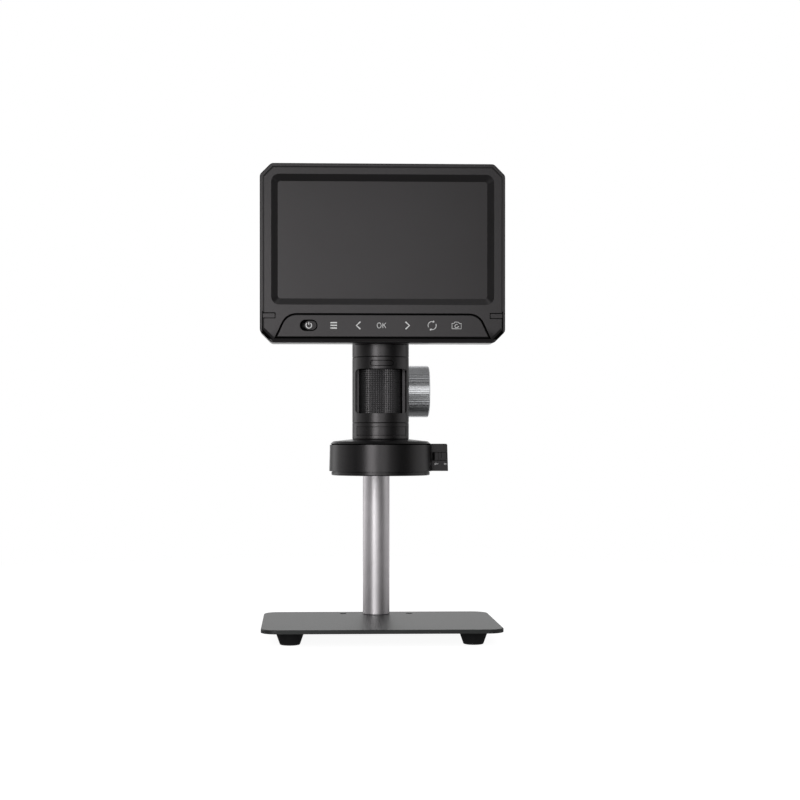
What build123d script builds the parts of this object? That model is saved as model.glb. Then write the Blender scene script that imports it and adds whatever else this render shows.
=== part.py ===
from build123d import *
from math import acos, atan2, cos, pi, radians, sin, tan
import os

# Digital microscope with a tilting LCD head: a flat stand with a round column, a rack and
# pinion focus block, a camera tube with a ring light under it, and the display on top.
# Millimetres. +Z is up, +Y points to the back, the origin is on the table under the
# middle of the whole object.

# ---------------------------------------------------------------- clearances
face_gap = 0.3            # between flat faces that slide or swing past each other
seat_gap = 0.05           # round a piece that is fixed in its hole or pocket
running_gap = 0.05        # radial, shaft in bush
trim_gap = 0.3            # visible line round an inset trim piece
edge_break = 0.35         # small chamfer that draws the seams between turned parts

# ---------------------------------------------------------------- stand
base_width = 180.0
base_depth = 120.0
base_thickness = 3.0
base_corner = 12.0
foot_height = 10.0
foot_top_radius = 11.0
foot_bottom_radius = 7.4
foot_inset_x = 21.5       # foot centre from the plate's side edge
foot_inset_y = 20.0       # foot centre from the plate's front and back edge
foot_screw_radius = 1.5
foot_screw_head_radius = 2.9
foot_screw_head_height = 2.2
foot_recess_radius = 3.6
foot_recess_depth = 5.0
foot_screw_bite = 2.2     # depth of the blind thread in the plate
clip_hole_radius = 2.8
clip_hole_spacing = 53.0
column_radius = 10.7
column_inset = 13.5       # column axis from the plate's back edge
column_flat_depth = 1.0
column_spare = 0.6        # column above the block at its highest
flat_run_out = 7.4        # flat below the block at its lowest
column_bolt_radius = 4.0
column_bolt_reach = 18.0  # bolt thread above the plate
bolt_head_radius = 6.5
bolt_head_height = 4.6
washer_radius = 9.0
washer_thickness = 1.4
cap_thickness = 2.5
cap_plug_radius = 4.0
cap_plug_depth = 7.0

# ---------------------------------------------------------------- heights of the scope
working_height = 112.7    # ring light above the plate
lip_height = 3.1
ring_wall_height = 19.8
cover_height = 4.3
barrel_height = 12.2
neck_height = 9.0
head_rise = 0.3           # head above the neck's front

# ---------------------------------------------------------------- camera tube
tube_wall = 2.2
window_bottom = 7.1       # above the housing's lower end
window_height = 33.3
window_land = 2.0         # tube's side beyond the window
button_land = 1.9         # between the window and the button
window_corner = 2.6
button_width = 17.6
button_height = 4.4
button_rise = 4.9         # button axis below the housing's upper end
button_travel = 0.8
button_gap = 0.5          # line round the button's cap
button_tab = 0.8          # how far the button's tabs reach past its cap on either side
focus_ring_radius = 15.8
focus_ring_wall = 3.2
focus_ring_room = 0.65    # between the ring and its cage
cage_collar = 1.0         # thickness of the collars above and below the ring
cage_wall = 2.7
cage_face = 1.5           # front faces of the cage's pillars, in front of the axis
spigot_height = 4.2
spigot_wall = 2.2
web_thickness = 3.0
neck_spigot = 1.0
sensor_board_thickness = 1.2
sensor_width = 9.0
sensor_depth = 7.0
sensor_thickness = 1.4
filter_thickness = 0.5
snap_body_width = 6.0
snap_body_depth = 3.5
snap_plunger_radius = 1.2
snap_plunger_length = 0.7
label_width = 37.0
label_height = 6.8
label_rise = 2.6          # above the barrel's lower end
label_thickness = 0.6

# ---------------------------------------------------------------- lens
lens_travel = 4.5         # each way
carrier_head_height = 20.0
carrier_neck_radius = 10.0
carrier_neck_length = 26.0
carrier_wall = 1.4        # round the lenses
key_width = 2.0
key_depth = 1.5
lens_thickness = 3.6
lens_edge = 1.6
lens_step = 13.0
retainer_height = 1.6
retainer_hole_radius = 6.8

# ---------------------------------------------------------------- ring light
ring_bottom_radius = 38.9
ring_draft = 0.5          # taper of the wall, as a radius
ring_wall = 4.4
cover_shoulder = 2.2      # bevel between the cover's cone and its rim
cover_bevel_height = 2.0
cover_rim = 0.65         # height of the groove between the cover and the wall
cover_groove = 0.8       # its depth
shield_room = 2.2         # lens carrier to the tube round it inside the ring light
shield_wall = 1.4
cover_spigot = 2.6
cover_spigot_wall = 1.5
lip_setback = 1.7         # lip behind the foot of the wall
lip_width = 4.7
lip_groove = 0.6
diffuser_thickness = 1.8
led_board_thickness = 1.6
led_count = 12
led_inset = 10.4          # lamps' circle from the tube round the lens
led_size = 3.4
led_height = 1.8
lip_screw_count = 3
lip_screw_inset = 3.5     # screws' circle from the foot of the wall
lip_screw_radius = 0.7
lip_screw_head_radius = 1.2
lip_screw_head_height = 1.0
lip_screw_length = 6.0
switch_box_depth = 16.0
switch_box_setback = 5.0  # box behind the ring light's axis
switch_box_lean = 0.6     # its outer side leans in towards the top
switch_box_corner = 1.1
switch_box_rise = 0.8     # box above the ring light's wall
switch_box_wall = 1.2
light_slot_width = 10.8
light_slot_height = 6.5
light_slot_land = 0.1     # between the ring light's wall and the slot
light_slot_drop = 9.6     # slot centre below the box's upper face
light_end_gap = 0.1       # at each end of the slider's travel
light_body_margin = 1.6   # switch body above and below the slot
light_slider_width = 8.8
light_slider_depth = 1.2
light_body_depth = 6.0
switch_stem_width = 2.4

# ---------------------------------------------------------------- focus drive
gear_module = 0.8
pinion_teeth = 15
pressure_angle = 20.0
tooth_backlash = 0.16
rack_addendum = 0.62      # rack tooth above its pitch line
rack_half_width = 3.0
rack_spare = 9.0          # rack past the pinion's axis at either end of the travel
pinion_half_length = 4.0
shaft_radius = 3.0
saddle_half_width = 11.0
saddle_depth = 3.6        # saddle's flat behind the tube
saddle_height = 40.0
slide_half_width = 14.0
slide_thickness = 6.0
slide_grip = 32.0         # slide longer than its travel both ways
dovetail_depth = 6.0
dovetail_root = 8.2       # half width of the dovetail at the plate
dovetail_angle = 60.0
gib_thickness = 2.0
rack_back = 3.0           # rack's pitch line behind the dovetail
slide_screw_spacing = 28.0
slide_screw_radius = 1.25
slide_screw_head_radius = 2.25
slide_screw_head_height = 2.5
slide_screw_bite = 3.0
block_half_width = 17.0
block_height = 49.0
block_clearance = 0.5     # ring light at its highest to the block's lower end
drive_rise = 25.3         # pinion axis above the housing's lower end
focus_travel = 12.0
drive_wall = 2.05         # between the pinion's bush and the column's bushes
right_bush_wall = 0.6     # round the pinion
left_bush_radius = 5.0
bush_flange = 1.2         # flange of the pinion's right bush, under the knob
bush_flange_rim = 1.5
knob_radius = 20.2
knob_gap = 0.8            # knob to the bush's flange
knob_length = 21.0
knob_dish = 1.2
knob_rim = 2.6
knob_serration_count = 96
serration_depth = 0.35
knob_screw_radius = 2.0
knob_screw_length = 8.0
clip_thickness = 0.6
clip_radius = 4.6
clip_groove_depth = 0.6
gib_screw_radius = 1.5
gib_screw_spacing = 18.0
column_bush_wall = 1.5
column_bush_height = 14.0
column_rise = 25.0        # upward travel of the block on the column
column_drop = 85.0        # downward travel
lock_stud_radius = 3.0
lock_pad_radius = 3.5
lock_boss_radius = 7.0
lock_boss_length = 2.5
lock_knob_radius = 9.0
lock_knob_length = 11.5
lock_knob_lobe_count = 16

# ---------------------------------------------------------------- head
head_depth = 24.0
hinge_room = 1.8          # hinge knuckle to the head's back
head_corner = 8.4         # bevel of the four corners
corner_round = 4.5
bezel_depth = 10.0
bezel_front_wall = 3.5
back_wall = 2.0
side_wall = 2.6
rim_setback = 1.5
rim_bevel = 0.8
plateau_side = 3.4
plateau_top = 3.6
plateau_bottom = 4.0
plateau_foot_side = 2.2
plateau_foot_bottom = 0.9
screen_width = 154.2
screen_height = 85.9
brow_height = 13.25       # head above the lit screen
chin_height = 32.8        # head below the lit screen
screen_margin = 0.2
recess_slope = 5.0        # width of the sloping walls round the screen
recess_corner = 5.9
screen_corner = 2.1
glass_thickness = 1.1
glass_border = 3.0
lcd_side_frame = 5.2      # display panel beyond its lit area
lcd_end_frame = 6.55
lcd_thickness = 3.4
panel_rise = 4.0          # lower edge of the key panel above the head's lower edge
panel_height = 16.5
panel_top_inset = 19.9    # upper corners of the panel from the head's sides, before rounding
panel_bottom_inset = 12.3
panel_shoulder = 11.0     # rounding of the upper corners
panel_gap = 1.1           # groove round the panel
panel_bevel = 0.5
panel_thickness = 1.7
panel_proud = 0.25
key_rise = 12.6           # key row above the head's lower edge
key_pitch = 18.2
power_recess_width = 12.9
power_recess_height = 8.3
power_recess_depth = 1.2
power_slider_width = 9.1
power_slider_height = 7.0
power_end_gap = 0.5       # at each end of the slider's travel
power_stem_width = 3.0
power_stem_height = 2.4
power_body_width = 9.0
power_body_height = 6.0
power_body_depth = 3.0
touch_board_margin = 15.4 # board beyond the first and last key
touch_board_height = 15.0
board_thickness = 1.4
inlay_width = 8.8
inlay_inset = 2.3         # from the head's side
inlay_rise = 19.85
inlay_height = 3.3
inlay_gap = 0.55          # groove round an inlay
inlay_thickness = 1.3
main_board_width = 124.0
main_board_height = 66.0
board_space = 1.2
battery_width = 76.0
battery_height = 52.0
battery_thickness = 7.5
battery_offset = 12.0     # away from the ports
rear_bevel = 3.0
vent_count = 7
vent_centre = 30.0        # from the middle plane
vent_width = 22.0
vent_height = 1.8
vent_pitch = 4.0
vent_drop = 18.0          # first vent below the head's upper edge
port_setback = 15.0       # port centre line behind the head's front face
usb_rise = 61.2
usb_width = 9.0
usb_height = 3.2
usb_length = 8.0
card_rise = 81.2
card_width = 12.0
card_height = 1.6
card_length = 14.0
card_body_height = 2.2
case_screw_radius = 1.0
case_screw_head_radius = 1.9
case_screw_head_height = 1.3
case_screw_bite = 5.0     # screw's reach into the front bezel
case_boss_radius = 2.8
case_screw_inset = 5.1    # screw axis from the head's side edge
case_screw_rise = 29.2    # lower screws above the head's lower edge
case_screw_drop = 14.75   # upper screws below its upper edge
pivot_rise = 12.2         # tilt axis above the head's lower edge
knuckle_radius = 8.2
knuckle_half_width = 11.5
lug_width = 8.0
collar_gap = 0.8          # neck's collar behind the head
collar_room = 1.8         # collar to the lugs above it
hinge_pin_radius = 3.0
hinge_pin_cap = 1.2
hinge_pin_cap_radius = 4.6
washer_wall = 0.35

# ---------------------------------------------------------------- worked out
tube_radius = focus_ring_radius + focus_ring_room + cage_wall + seat_gap + tube_wall
pitch_radius = gear_module * pinion_teeth / 2
tooth_pitch = pi * gear_module
right_bush_radius = pitch_radius + gear_module + right_bush_wall
bush_radius = column_radius + running_gap + column_bush_wall
pinion_reach = (tube_radius + saddle_depth + slide_thickness + dovetail_depth + rack_back
                + pitch_radius)
tube_reach = (pinion_reach + right_bush_radius + drive_wall + bush_radius
              + 2 * seat_gap)
head_front = head_depth + hinge_room + knuckle_radius
head_height = brow_height + screen_height + chin_height
lcd_width = screen_width + 2 * lcd_side_frame
lcd_height = screen_height + 2 * lcd_end_frame
head_width = lcd_width + 2 * (case_screw_inset + case_boss_radius + face_gap)
housing_height = window_bottom + window_height + button_land + button_height / 2 + button_rise

block_back_reach = block_half_width + lock_boss_length + lock_knob_length + face_gap
overall_depth = base_depth - column_inset + block_back_reach
column_y = overall_depth / 2 - block_back_reach
plate_back_y = column_y + column_inset
plate_front_y = plate_back_y - base_depth
plate_y = (plate_front_y + plate_back_y) / 2
tube_y = column_y - tube_reach
switch_y = tube_y + switch_box_setback
head_y = tube_y - head_front
plate_top = foot_height + base_thickness

lip_z = plate_top + working_height
wall_z = lip_z + lip_height
cover_z = wall_z + ring_wall_height
barrel_z = cover_z + cover_height
housing_z = barrel_z + barrel_height
neck_z = housing_z + housing_height
shelf_z = neck_z + neck_height
head_z = shelf_z + head_rise
head_top = head_z + head_height
pivot_z = head_z + pivot_rise
collar_top = pivot_z - knuckle_radius - collar_room
collar_y = head_y + head_depth + collar_gap
drive_z = housing_z + drive_rise

saddle_y = tube_y + tube_radius + saddle_depth
slide_back_y = saddle_y + slide_thickness
dovetail_y = slide_back_y + dovetail_depth
pitch_y = dovetail_y + rack_back
pinion_y = pitch_y + pitch_radius
block_front_y = slide_back_y + face_gap
flat_y = column_y + column_radius - column_flat_depth
slide_screw_x = (rack_half_width + seat_gap + dovetail_root) / 2
knob_start = block_half_width + bush_flange + knob_gap
block_bottom = barrel_z + focus_travel + block_clearance
block_top = block_bottom + block_height
column_top = block_top + column_rise + column_spare
flat_bottom = block_bottom - column_drop - flat_run_out
slide_length = 2 * focus_travel + slide_grip
rack_teeth = 2 * round((focus_travel + rack_spare) / tooth_pitch) + 1

housing_bore = tube_radius - tube_wall
cage_radius = housing_bore - seat_gap
cage_bore = cage_radius - cage_wall
window_z0 = housing_z + window_bottom
window_z1 = window_z0 + window_height
ring_z0 = window_z0 - 0.8
ring_z1 = window_z1 + 0.6
button_z = neck_z - button_rise
board_top = neck_z - neck_spigot
board_bottom = board_top - sensor_board_thickness
ring_bore = focus_ring_radius - focus_ring_wall
carrier_radius = ring_bore - running_gap
carrier_bore_radius = carrier_neck_radius - carrier_wall
window_half_width = tube_radius - window_land
carrier_z = ring_z0 + lens_travel
web_top = housing_z + 1.0

ring_top_radius = ring_bottom_radius - ring_draft
shield_radius = carrier_neck_radius + shield_room + shield_wall
lip_radius = ring_bottom_radius - lip_setback
lip_screw_circle = ring_bottom_radius - lip_screw_inset
led_circle_radius = shield_radius + led_inset
switch_box_height = ring_wall_height + switch_box_rise
switch_box_reach = ring_bottom_radius + light_slot_land + light_slot_width + switch_box_wall
light_slot_centre_x = switch_box_reach - switch_box_wall - light_slot_width / 2
light_slot_rise = switch_box_height - light_slot_drop

screen_z = head_top - brow_height - screen_height / 2
panel_top_half = head_width / 2 - panel_top_inset
panel_bottom_half = head_width / 2 - panel_bottom_inset
inlay_outer = head_width / 2 - inlay_inset
inlay_inner = inlay_outer - inlay_width
power_travel = power_recess_width - power_slider_width - 2 * power_end_gap
touch_board_width = 6 * key_pitch + 2 * touch_board_margin
key_z = head_z + key_rise
power_x = -3 * key_pitch


def box(x0, x1, y0, y1, z0, z1):
    """Box between its low and high faces."""
    return Pos((x0 + x1) / 2, (y0 + y1) / 2, (z0 + z1) / 2) * Box(x1 - x0, y1 - y0, z1 - z0)


def upright(x, y, z0, z1, radius):
    """Cylinder along Z."""
    return Pos(x, y, (z0 + z1) / 2) * Cylinder(radius, z1 - z0)


def cross_rod(y, z, x0, x1, radius):
    """Cylinder along X."""
    return Pos((x0 + x1) / 2, y, z) * Rot(0, 90, 0) * Cylinder(radius, x1 - x0)


def depth_rod(x, z, y0, y1, radius):
    """Cylinder along Y."""
    return Pos(x, (y0 + y1) / 2, z) * Rot(90, 0, 0) * Cylinder(radius, y1 - y0)


def turned(x, y, profile):
    """Solid of revolution about the vertical line at x, y, from (radius, z) points."""
    return Pos(x, y, 0) * revolve(Plane.XZ * make_face(Polyline(*profile, close=True)), Axis.Z)


def ring(x, y, z0, z1, inner, outer):
    """Plain annulus about a vertical axis."""
    return turned(x, y, [(inner, z0), (outer, z0), (outer, z1), (inner, z1)])


def slab(sketch, y0, y1):
    """Sketch in X and Z, as thick as y0 to y1."""
    return extrude(Plane.XZ.offset(-y1) * sketch, y1 - y0)


def bevelled_outline(left, right, bottom, top, bevel):
    """Rectangle with four 45 degree corners."""
    points = [
        (left + bevel, bottom), (right - bevel, bottom), (right, bottom + bevel),
        (right, top - bevel), (right - bevel, top), (left + bevel, top),
        (left, top - bevel), (left, bottom + bevel),
    ]
    return make_face(Polyline(*points, close=True))


def rectangle(width, height, corner, x, z):
    """Rectangle with rounded corners about x, z."""
    return Pos(x, z) * RectangleRounded(width, height, corner)


def pill(width, height, x, z):
    """Stadium outline about x, z, with its long axis along X."""
    return Pos(x, z) * SlotOverall(width, height)


def both_sides(shape):
    """A shape and its mirror image across the middle plane."""
    return shape + mirror(shape, Plane.YZ)


# ================================================================ stand
def foot_places():
    """Centres of the four feet."""
    half = base_width / 2 - foot_inset_x
    return [(x, y) for x in (-half, half)
            for y in (plate_front_y + foot_inset_y, plate_back_y - foot_inset_y)]


def make_base_plate():
    """Flat plate with the column's hole, the two clip holes and blind threads for the feet."""
    plate = Pos(0, plate_y, foot_height) * extrude(
        RectangleRounded(base_width, base_depth, base_corner), base_thickness)
    plate = chamfer(plate.faces().sort_by(Axis.Z)[-1].edges(), 0.5)
    plate -= upright(0, column_y, foot_height, plate_top, column_bolt_radius + 0.2)
    for side in (-1, 1):
        plate -= upright(side * clip_hole_spacing / 2, column_y, foot_height, plate_top, clip_hole_radius)
    for x, y in foot_places():
        plate -= upright(x, y, foot_height, foot_height + foot_screw_bite, foot_screw_radius + seat_gap)
    return plate


def make_rubber_feet():
    """Four tapered feet with a recess for the screw head."""
    feet = []
    for x, y in foot_places():
        foot = turned(x, y, [(0, 0), (foot_bottom_radius, 0), (foot_top_radius, foot_height),
                             (0, foot_height)])
        foot -= upright(x, y, 0, foot_height, foot_screw_radius + seat_gap)
        foot -= upright(x, y, 0, foot_recess_depth, foot_recess_radius)
        feet.append(foot)
    return feet


def make_foot_screws():
    """Screws that hold the feet to the plate."""
    screws = []
    for x, y in foot_places():
        start = foot_recess_depth - foot_screw_head_height
        head = upright(x, y, start, foot_recess_depth, foot_screw_head_radius)
        shank = upright(x, y, foot_recess_depth, foot_height + foot_screw_bite - 0.1, foot_screw_radius)
        drive = Pos(x, y, start) * extrude(RegularPolygon(1.2, 6), 1.2)
        screws.append(head + shank - drive)
    return screws


def make_column():
    """Round column with a flat along its back that keeps the block from swivelling."""
    column = upright(0, column_y, plate_top, column_top, column_radius)
    column = chamfer(column.edges().filter_by(GeomType.CIRCLE), 0.5)
    column -= box(-column_radius, column_radius, flat_y, flat_y + column_radius,
                  flat_bottom, column_top)
    column -= upright(0, column_y, plate_top, plate_top + column_bolt_reach + 1,
                      column_bolt_radius + seat_gap)
    return column - upright(0, column_y, column_top - cap_plug_depth - 0.5, column_top,
                            cap_plug_radius + seat_gap)


def make_column_cap():
    """Domed plug on top of the column."""
    cap = upright(0, column_y, column_top, column_top + cap_thickness, column_radius)
    cap = fillet(cap.faces().sort_by(Axis.Z)[-1].edges(), 1.5)
    return cap + upright(0, column_y, column_top - cap_plug_depth, column_top, cap_plug_radius)


def make_column_washer():
    """Washer under the plate."""
    return ring(0, column_y, foot_height - washer_thickness, foot_height,
                column_bolt_radius + 0.2, washer_radius)


def make_column_bolt():
    """Hexagon bolt through the plate into the column."""
    head_top_z = foot_height - washer_thickness
    head = Pos(0, column_y, head_top_z - bolt_head_height) * extrude(
        RegularPolygon(bolt_head_radius, 6), bolt_head_height)
    return head + upright(0, column_y, head_top_z, plate_top + column_bolt_reach, column_bolt_radius)


# ================================================================ focus block
def dovetail_lean():
    """Growth of the dovetail's half width for each millimetre of depth."""
    return 1 / tan(radians(dovetail_angle))


def dovetail_profile(extra, left_extra):
    """Dovetail section in X and Y, widened by a clearance and by the gib's room on the left."""
    y0, y1 = slide_back_y, dovetail_y + extra
    tip = dovetail_root + dovetail_lean() * (y1 - y0)
    return make_face(Polyline(
        (-dovetail_root - extra - left_extra, y0), (dovetail_root + extra, y0),
        (tip + extra, y1), (-tip - extra - left_extra, y1), close=True))


def prism(profile, z0, z1):
    """Section in X and Y, as tall as z0 to z1."""
    return Pos(0, 0, z0) * extrude(profile, z1 - z0)


def gib_screw_heights():
    """Heights of the three screws that set the gib."""
    return [drive_z + step * gib_screw_spacing for step in (-1, 0, 1)]


def gib_room():
    """Width along X that the slanted gib takes."""
    return gib_thickness / sin(radians(dovetail_angle))


def make_focus_block():
    """Block that rides on the column and guides the dovetail slide."""
    z0, z1 = block_bottom, block_top
    body = box(-block_half_width, block_half_width, block_front_y, column_y, z0, z1)
    body += upright(0, column_y, z0, z1, block_half_width)
    body = chamfer(body.edges().filter_by(Plane.XY).group_by(Axis.Z)[-1], 0.6)
    boss_end = column_y + block_half_width + lock_boss_length
    body += depth_rod(0, drive_z, column_y, boss_end, lock_boss_radius)
    body -= upright(0, column_y, z0, z1, bush_radius + seat_gap)
    body -= prism(dovetail_profile(face_gap / 2, gib_room()), z0, z1)
    body -= box(-rack_half_width - 0.5, rack_half_width + 0.5, block_front_y,
                pitch_y + rack_addendum + 0.6, z0, z1)
    body -= cross_rod(pinion_y, drive_z, -pinion_half_length - 0.5, block_half_width,
                      right_bush_radius + seat_gap)
    body -= cross_rod(pinion_y, drive_z, -block_half_width, 0, left_bush_radius + seat_gap)
    body -= depth_rod(0, drive_z, column_y, boss_end - lock_boss_length - 1.8, lock_pad_radius + seat_gap)
    body -= depth_rod(0, drive_z, column_y, boss_end, lock_stud_radius + seat_gap)
    for z in gib_screw_heights():
        body -= cross_rod((block_front_y + dovetail_y) / 2, z, -block_half_width, -dovetail_root,
                          gib_screw_radius + seat_gap)
    return body


def make_column_bushes():
    """Two bushes with the column's D-shaped section."""
    bushes = []
    for z in (block_bottom, block_top - column_bush_height):
        bush = upright(0, column_y, z, z + column_bush_height, bush_radius)
        bore = upright(0, column_y, z, z + column_bush_height, column_radius + running_gap)
        bore -= box(-column_radius, column_radius, flat_y + running_gap, flat_y + column_radius,
                    z, z + column_bush_height)
        bushes.append(bush - bore)
    return bushes


def make_lock_pad():
    """Pad between the lock screw and the column's flat."""
    return depth_rod(0, drive_z, flat_y + running_gap, lock_pad_end(), lock_pad_radius)


def lock_pad_end():
    """Rear face of the lock pad."""
    return column_y + block_half_width - 2.2


def make_slide_gib():
    """Slanted strip between the dovetail and the left wall of its slot."""
    inner = -dovetail_root - face_gap / 2 - running_gap
    outer = inner - gib_room() + running_gap + seat_gap
    y0, y1 = block_front_y, dovetail_y
    lean0 = dovetail_lean() * (y0 - slide_back_y)
    lean1 = dovetail_lean() * (y1 - slide_back_y)
    section = make_face(Polyline(
        (inner - lean0, y0), (inner - lean1, y1), (outer - lean1, y1), (outer - lean0, y0), close=True))
    return prism(section, block_bottom + 1, block_top - 1)


def make_gib_screws():
    """Set screws that press the gib on the dovetail."""
    screws = []
    y = (block_front_y + dovetail_y) / 2
    lean = dovetail_lean() * (y + gib_screw_radius - slide_back_y)
    tip_x = -dovetail_root - face_gap / 2 - gib_room() - lean - 0.2
    for z in gib_screw_heights():
        screw = cross_rod(y, z, -block_half_width + 0.4, tip_x, gib_screw_radius)
        socket = Pos(-block_half_width + 0.4, y, z) * Rot(0, 90, 0) * extrude(RegularPolygon(0.8, 6), 1.2)
        screws.append(screw - socket)
    return screws


def make_pinion_bushes():
    """Bushes for the pinion shaft, the right one large enough for the pinion to pass."""
    inner = pinion_half_length + 0.5
    right = cross_rod(pinion_y, drive_z, inner, block_half_width, right_bush_radius)
    right += cross_rod(pinion_y, drive_z, block_half_width, block_half_width + bush_flange,
                       right_bush_radius + bush_flange_rim)
    left = cross_rod(pinion_y, drive_z, -block_half_width, -inner, left_bush_radius)
    bore = cross_rod(pinion_y, drive_z, -block_half_width - 1, block_half_width + 2,
                     shaft_radius + running_gap)
    return [right - bore, left - bore]


# ================================================================ focus knob
def involute(base_radius, radius):
    """Angle swept by an involute from its base circle out to a radius."""
    roll = acos(base_radius / radius)
    return tan(roll) - roll


def make_pinion_shaft():
    """Shaft with the pinion cut in it and a groove for its clip."""
    base = pitch_radius * cos(radians(pressure_angle))
    root = pitch_radius - gear_module
    tip = pitch_radius + gear_module
    half_tooth = (tooth_pitch - tooth_backlash) / 2 / (2 * pitch_radius)
    flank_radii = [base + (tip - base) * step / 4 for step in range(5)]
    points = []
    for tooth in range(pinion_teeth):
        centre = 2 * pi * tooth / pinion_teeth + pi + pi / pinion_teeth
        sweep = [half_tooth + involute(base, pitch_radius) - involute(base, r) for r in flank_radii]
        rising = [(root, -sweep[0])] + [(r, -a) for r, a in zip(flank_radii, sweep)]
        falling = [(r, -a) for r, a in reversed(rising)]
        points += [(r * cos(centre + a), r * sin(centre + a)) for r, a in rising + falling]
    section = Plane.YZ * make_face(Polyline(*points, close=True))
    gear = Pos(-pinion_half_length, pinion_y, drive_z) * extrude(section, 2 * pinion_half_length)
    left_end = -block_half_width - 1.7
    shaft = cross_rod(pinion_y, drive_z, left_end, knob_start + knob_length - knob_dish - 4, shaft_radius)
    groove_x = -block_half_width - 0.3
    groove = cross_rod(pinion_y, drive_z, groove_x - clip_thickness - 0.1, groove_x, shaft_radius + 1)
    groove -= cross_rod(pinion_y, drive_z, groove_x - clip_thickness - 0.1, groove_x,
                        shaft_radius - clip_groove_depth)
    return gear + shaft - groove


def make_shaft_clip():
    """Open retaining clip on the shaft's left end."""
    x1 = -block_half_width - 0.35
    x0 = x1 - clip_thickness
    clip = cross_rod(pinion_y, drive_z, x0, x1, clip_radius)
    clip -= cross_rod(pinion_y, drive_z, x0, x1, shaft_radius - clip_groove_depth + seat_gap)
    mouth = 1.6
    return clip - box(x0, x1, pinion_y - mouth, pinion_y + mouth, drive_z - clip_radius, drive_z)


def make_focus_knob():
    """Serrated knob with a shallow dish in its outer face."""
    teeth = 2 * knob_serration_count
    radii = [knob_radius - serration_depth * (step % 2) for step in range(teeth)]
    rim = [(r * cos(2 * pi * step / teeth), r * sin(2 * pi * step / teeth)) for step, r in enumerate(radii)]
    grip = Plane.YZ * make_face(Polyline(*rim, close=True))
    knob = Pos(knob_start, pinion_y, drive_z) * extrude(grip, knob_length)
    x0, x1 = knob_start, knob_start + knob_length
    envelope = Pos(0, pinion_y, drive_z) * revolve(Plane.XZ * make_face(Polyline(
        (x0, 0), (x0, knob_radius - 0.8), (x0 + 0.8, knob_radius), (x1 - 0.8, knob_radius),
        (x1, knob_radius - 0.8), (x1, 0), close=True)), Axis.X)
    knob &= envelope
    knob -= cross_rod(pinion_y, drive_z, x1 - knob_dish, x1, knob_radius - knob_rim)
    knob -= cross_rod(pinion_y, drive_z, x0, x1 - knob_dish - 4, shaft_radius + seat_gap)
    knob -= upright(knob_screw_x(), pinion_y, drive_z - knob_radius, drive_z, knob_screw_radius + seat_gap)
    return knob


def knob_screw_x():
    """Place of the knob's set screw along the shaft."""
    return knob_start + 3.4


def make_knob_set_screw():
    """Set screw that holds the knob on the shaft."""
    top = drive_z - shaft_radius - seat_gap
    screw = upright(knob_screw_x(), pinion_y, top - knob_screw_length, top, knob_screw_radius)
    drive = Pos(knob_screw_x(), pinion_y, top - knob_screw_length) * extrude(RegularPolygon(1.0, 6), 2.0)
    return screw - drive


# ================================================================ lock screw
def make_lock_stud():
    """Threaded stud of the lock screw."""
    start = lock_pad_end() + running_gap
    return depth_rod(0, drive_z, start, lock_knob_y() + lock_knob_length - 3, lock_stud_radius)


def lock_knob_y():
    """Front face of the lock knob."""
    return column_y + block_half_width + lock_boss_length + face_gap


def make_lock_knob():
    """Lobed knob of the lock screw."""
    teeth = 2 * lock_knob_lobe_count
    radii = [lock_knob_radius - 0.8 * (step % 2) for step in range(teeth)]
    rim = [(r * cos(2 * pi * step / teeth), drive_z + r * sin(2 * pi * step / teeth))
           for step, r in enumerate(radii)]
    y0 = lock_knob_y()
    y1 = y0 + lock_knob_length
    knob = slab(make_face(Polyline(*rim, close=True)), y0 + 3, y1)
    knob = chamfer(knob.faces().sort_by(Axis.Y)[-1].edges(), 0.8)
    knob += depth_rod(0, drive_z, y0, y0 + 3, lock_boss_radius - 1)
    return knob - depth_rod(0, drive_z, y0, y1 - 3, lock_stud_radius + seat_gap)


# ================================================================ scope
def make_focus_slide():
    """Dovetail slide screwed to the back of the camera tube."""
    z0, z1 = drive_z - slide_length / 2, drive_z + slide_length / 2
    slide = box(-slide_half_width, slide_half_width, saddle_y, slide_back_y, z0, z1)
    slide += prism(dovetail_profile(0, 0), z0, z1)
    slide -= box(-rack_half_width - seat_gap, rack_half_width + seat_gap, slide_back_y, dovetail_y, z0, z1)
    for x, z in slide_screw_places():
        slide -= depth_rod(x, z, saddle_y, dovetail_y, slide_screw_radius + seat_gap)
        slide -= depth_rod(x, z, slide_back_y - slide_screw_head_height, dovetail_y,
                           slide_screw_head_radius + 0.15)
    return slide


def slide_screw_places():
    """Axes of the four screws that hold the slide to the tube."""
    return [(x, drive_z + z) for x in (-slide_screw_x, slide_screw_x)
            for z in (-slide_screw_spacing / 2, slide_screw_spacing / 2)]


def make_slide_screws():
    """Socket screws of the slide."""
    screws = []
    for x, z in slide_screw_places():
        seat = slide_back_y - slide_screw_head_height
        head = depth_rod(x, z, seat, slide_back_y, slide_screw_head_radius)
        shank = depth_rod(x, z, saddle_y - slide_screw_bite + 0.2, seat, slide_screw_radius)
        socket = Pos(x, slide_back_y, z) * Rot(90, 0, 0) * extrude(RegularPolygon(1.15, 6), 1.4)
        screws.append(head + shank - socket)
    return screws


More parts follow.
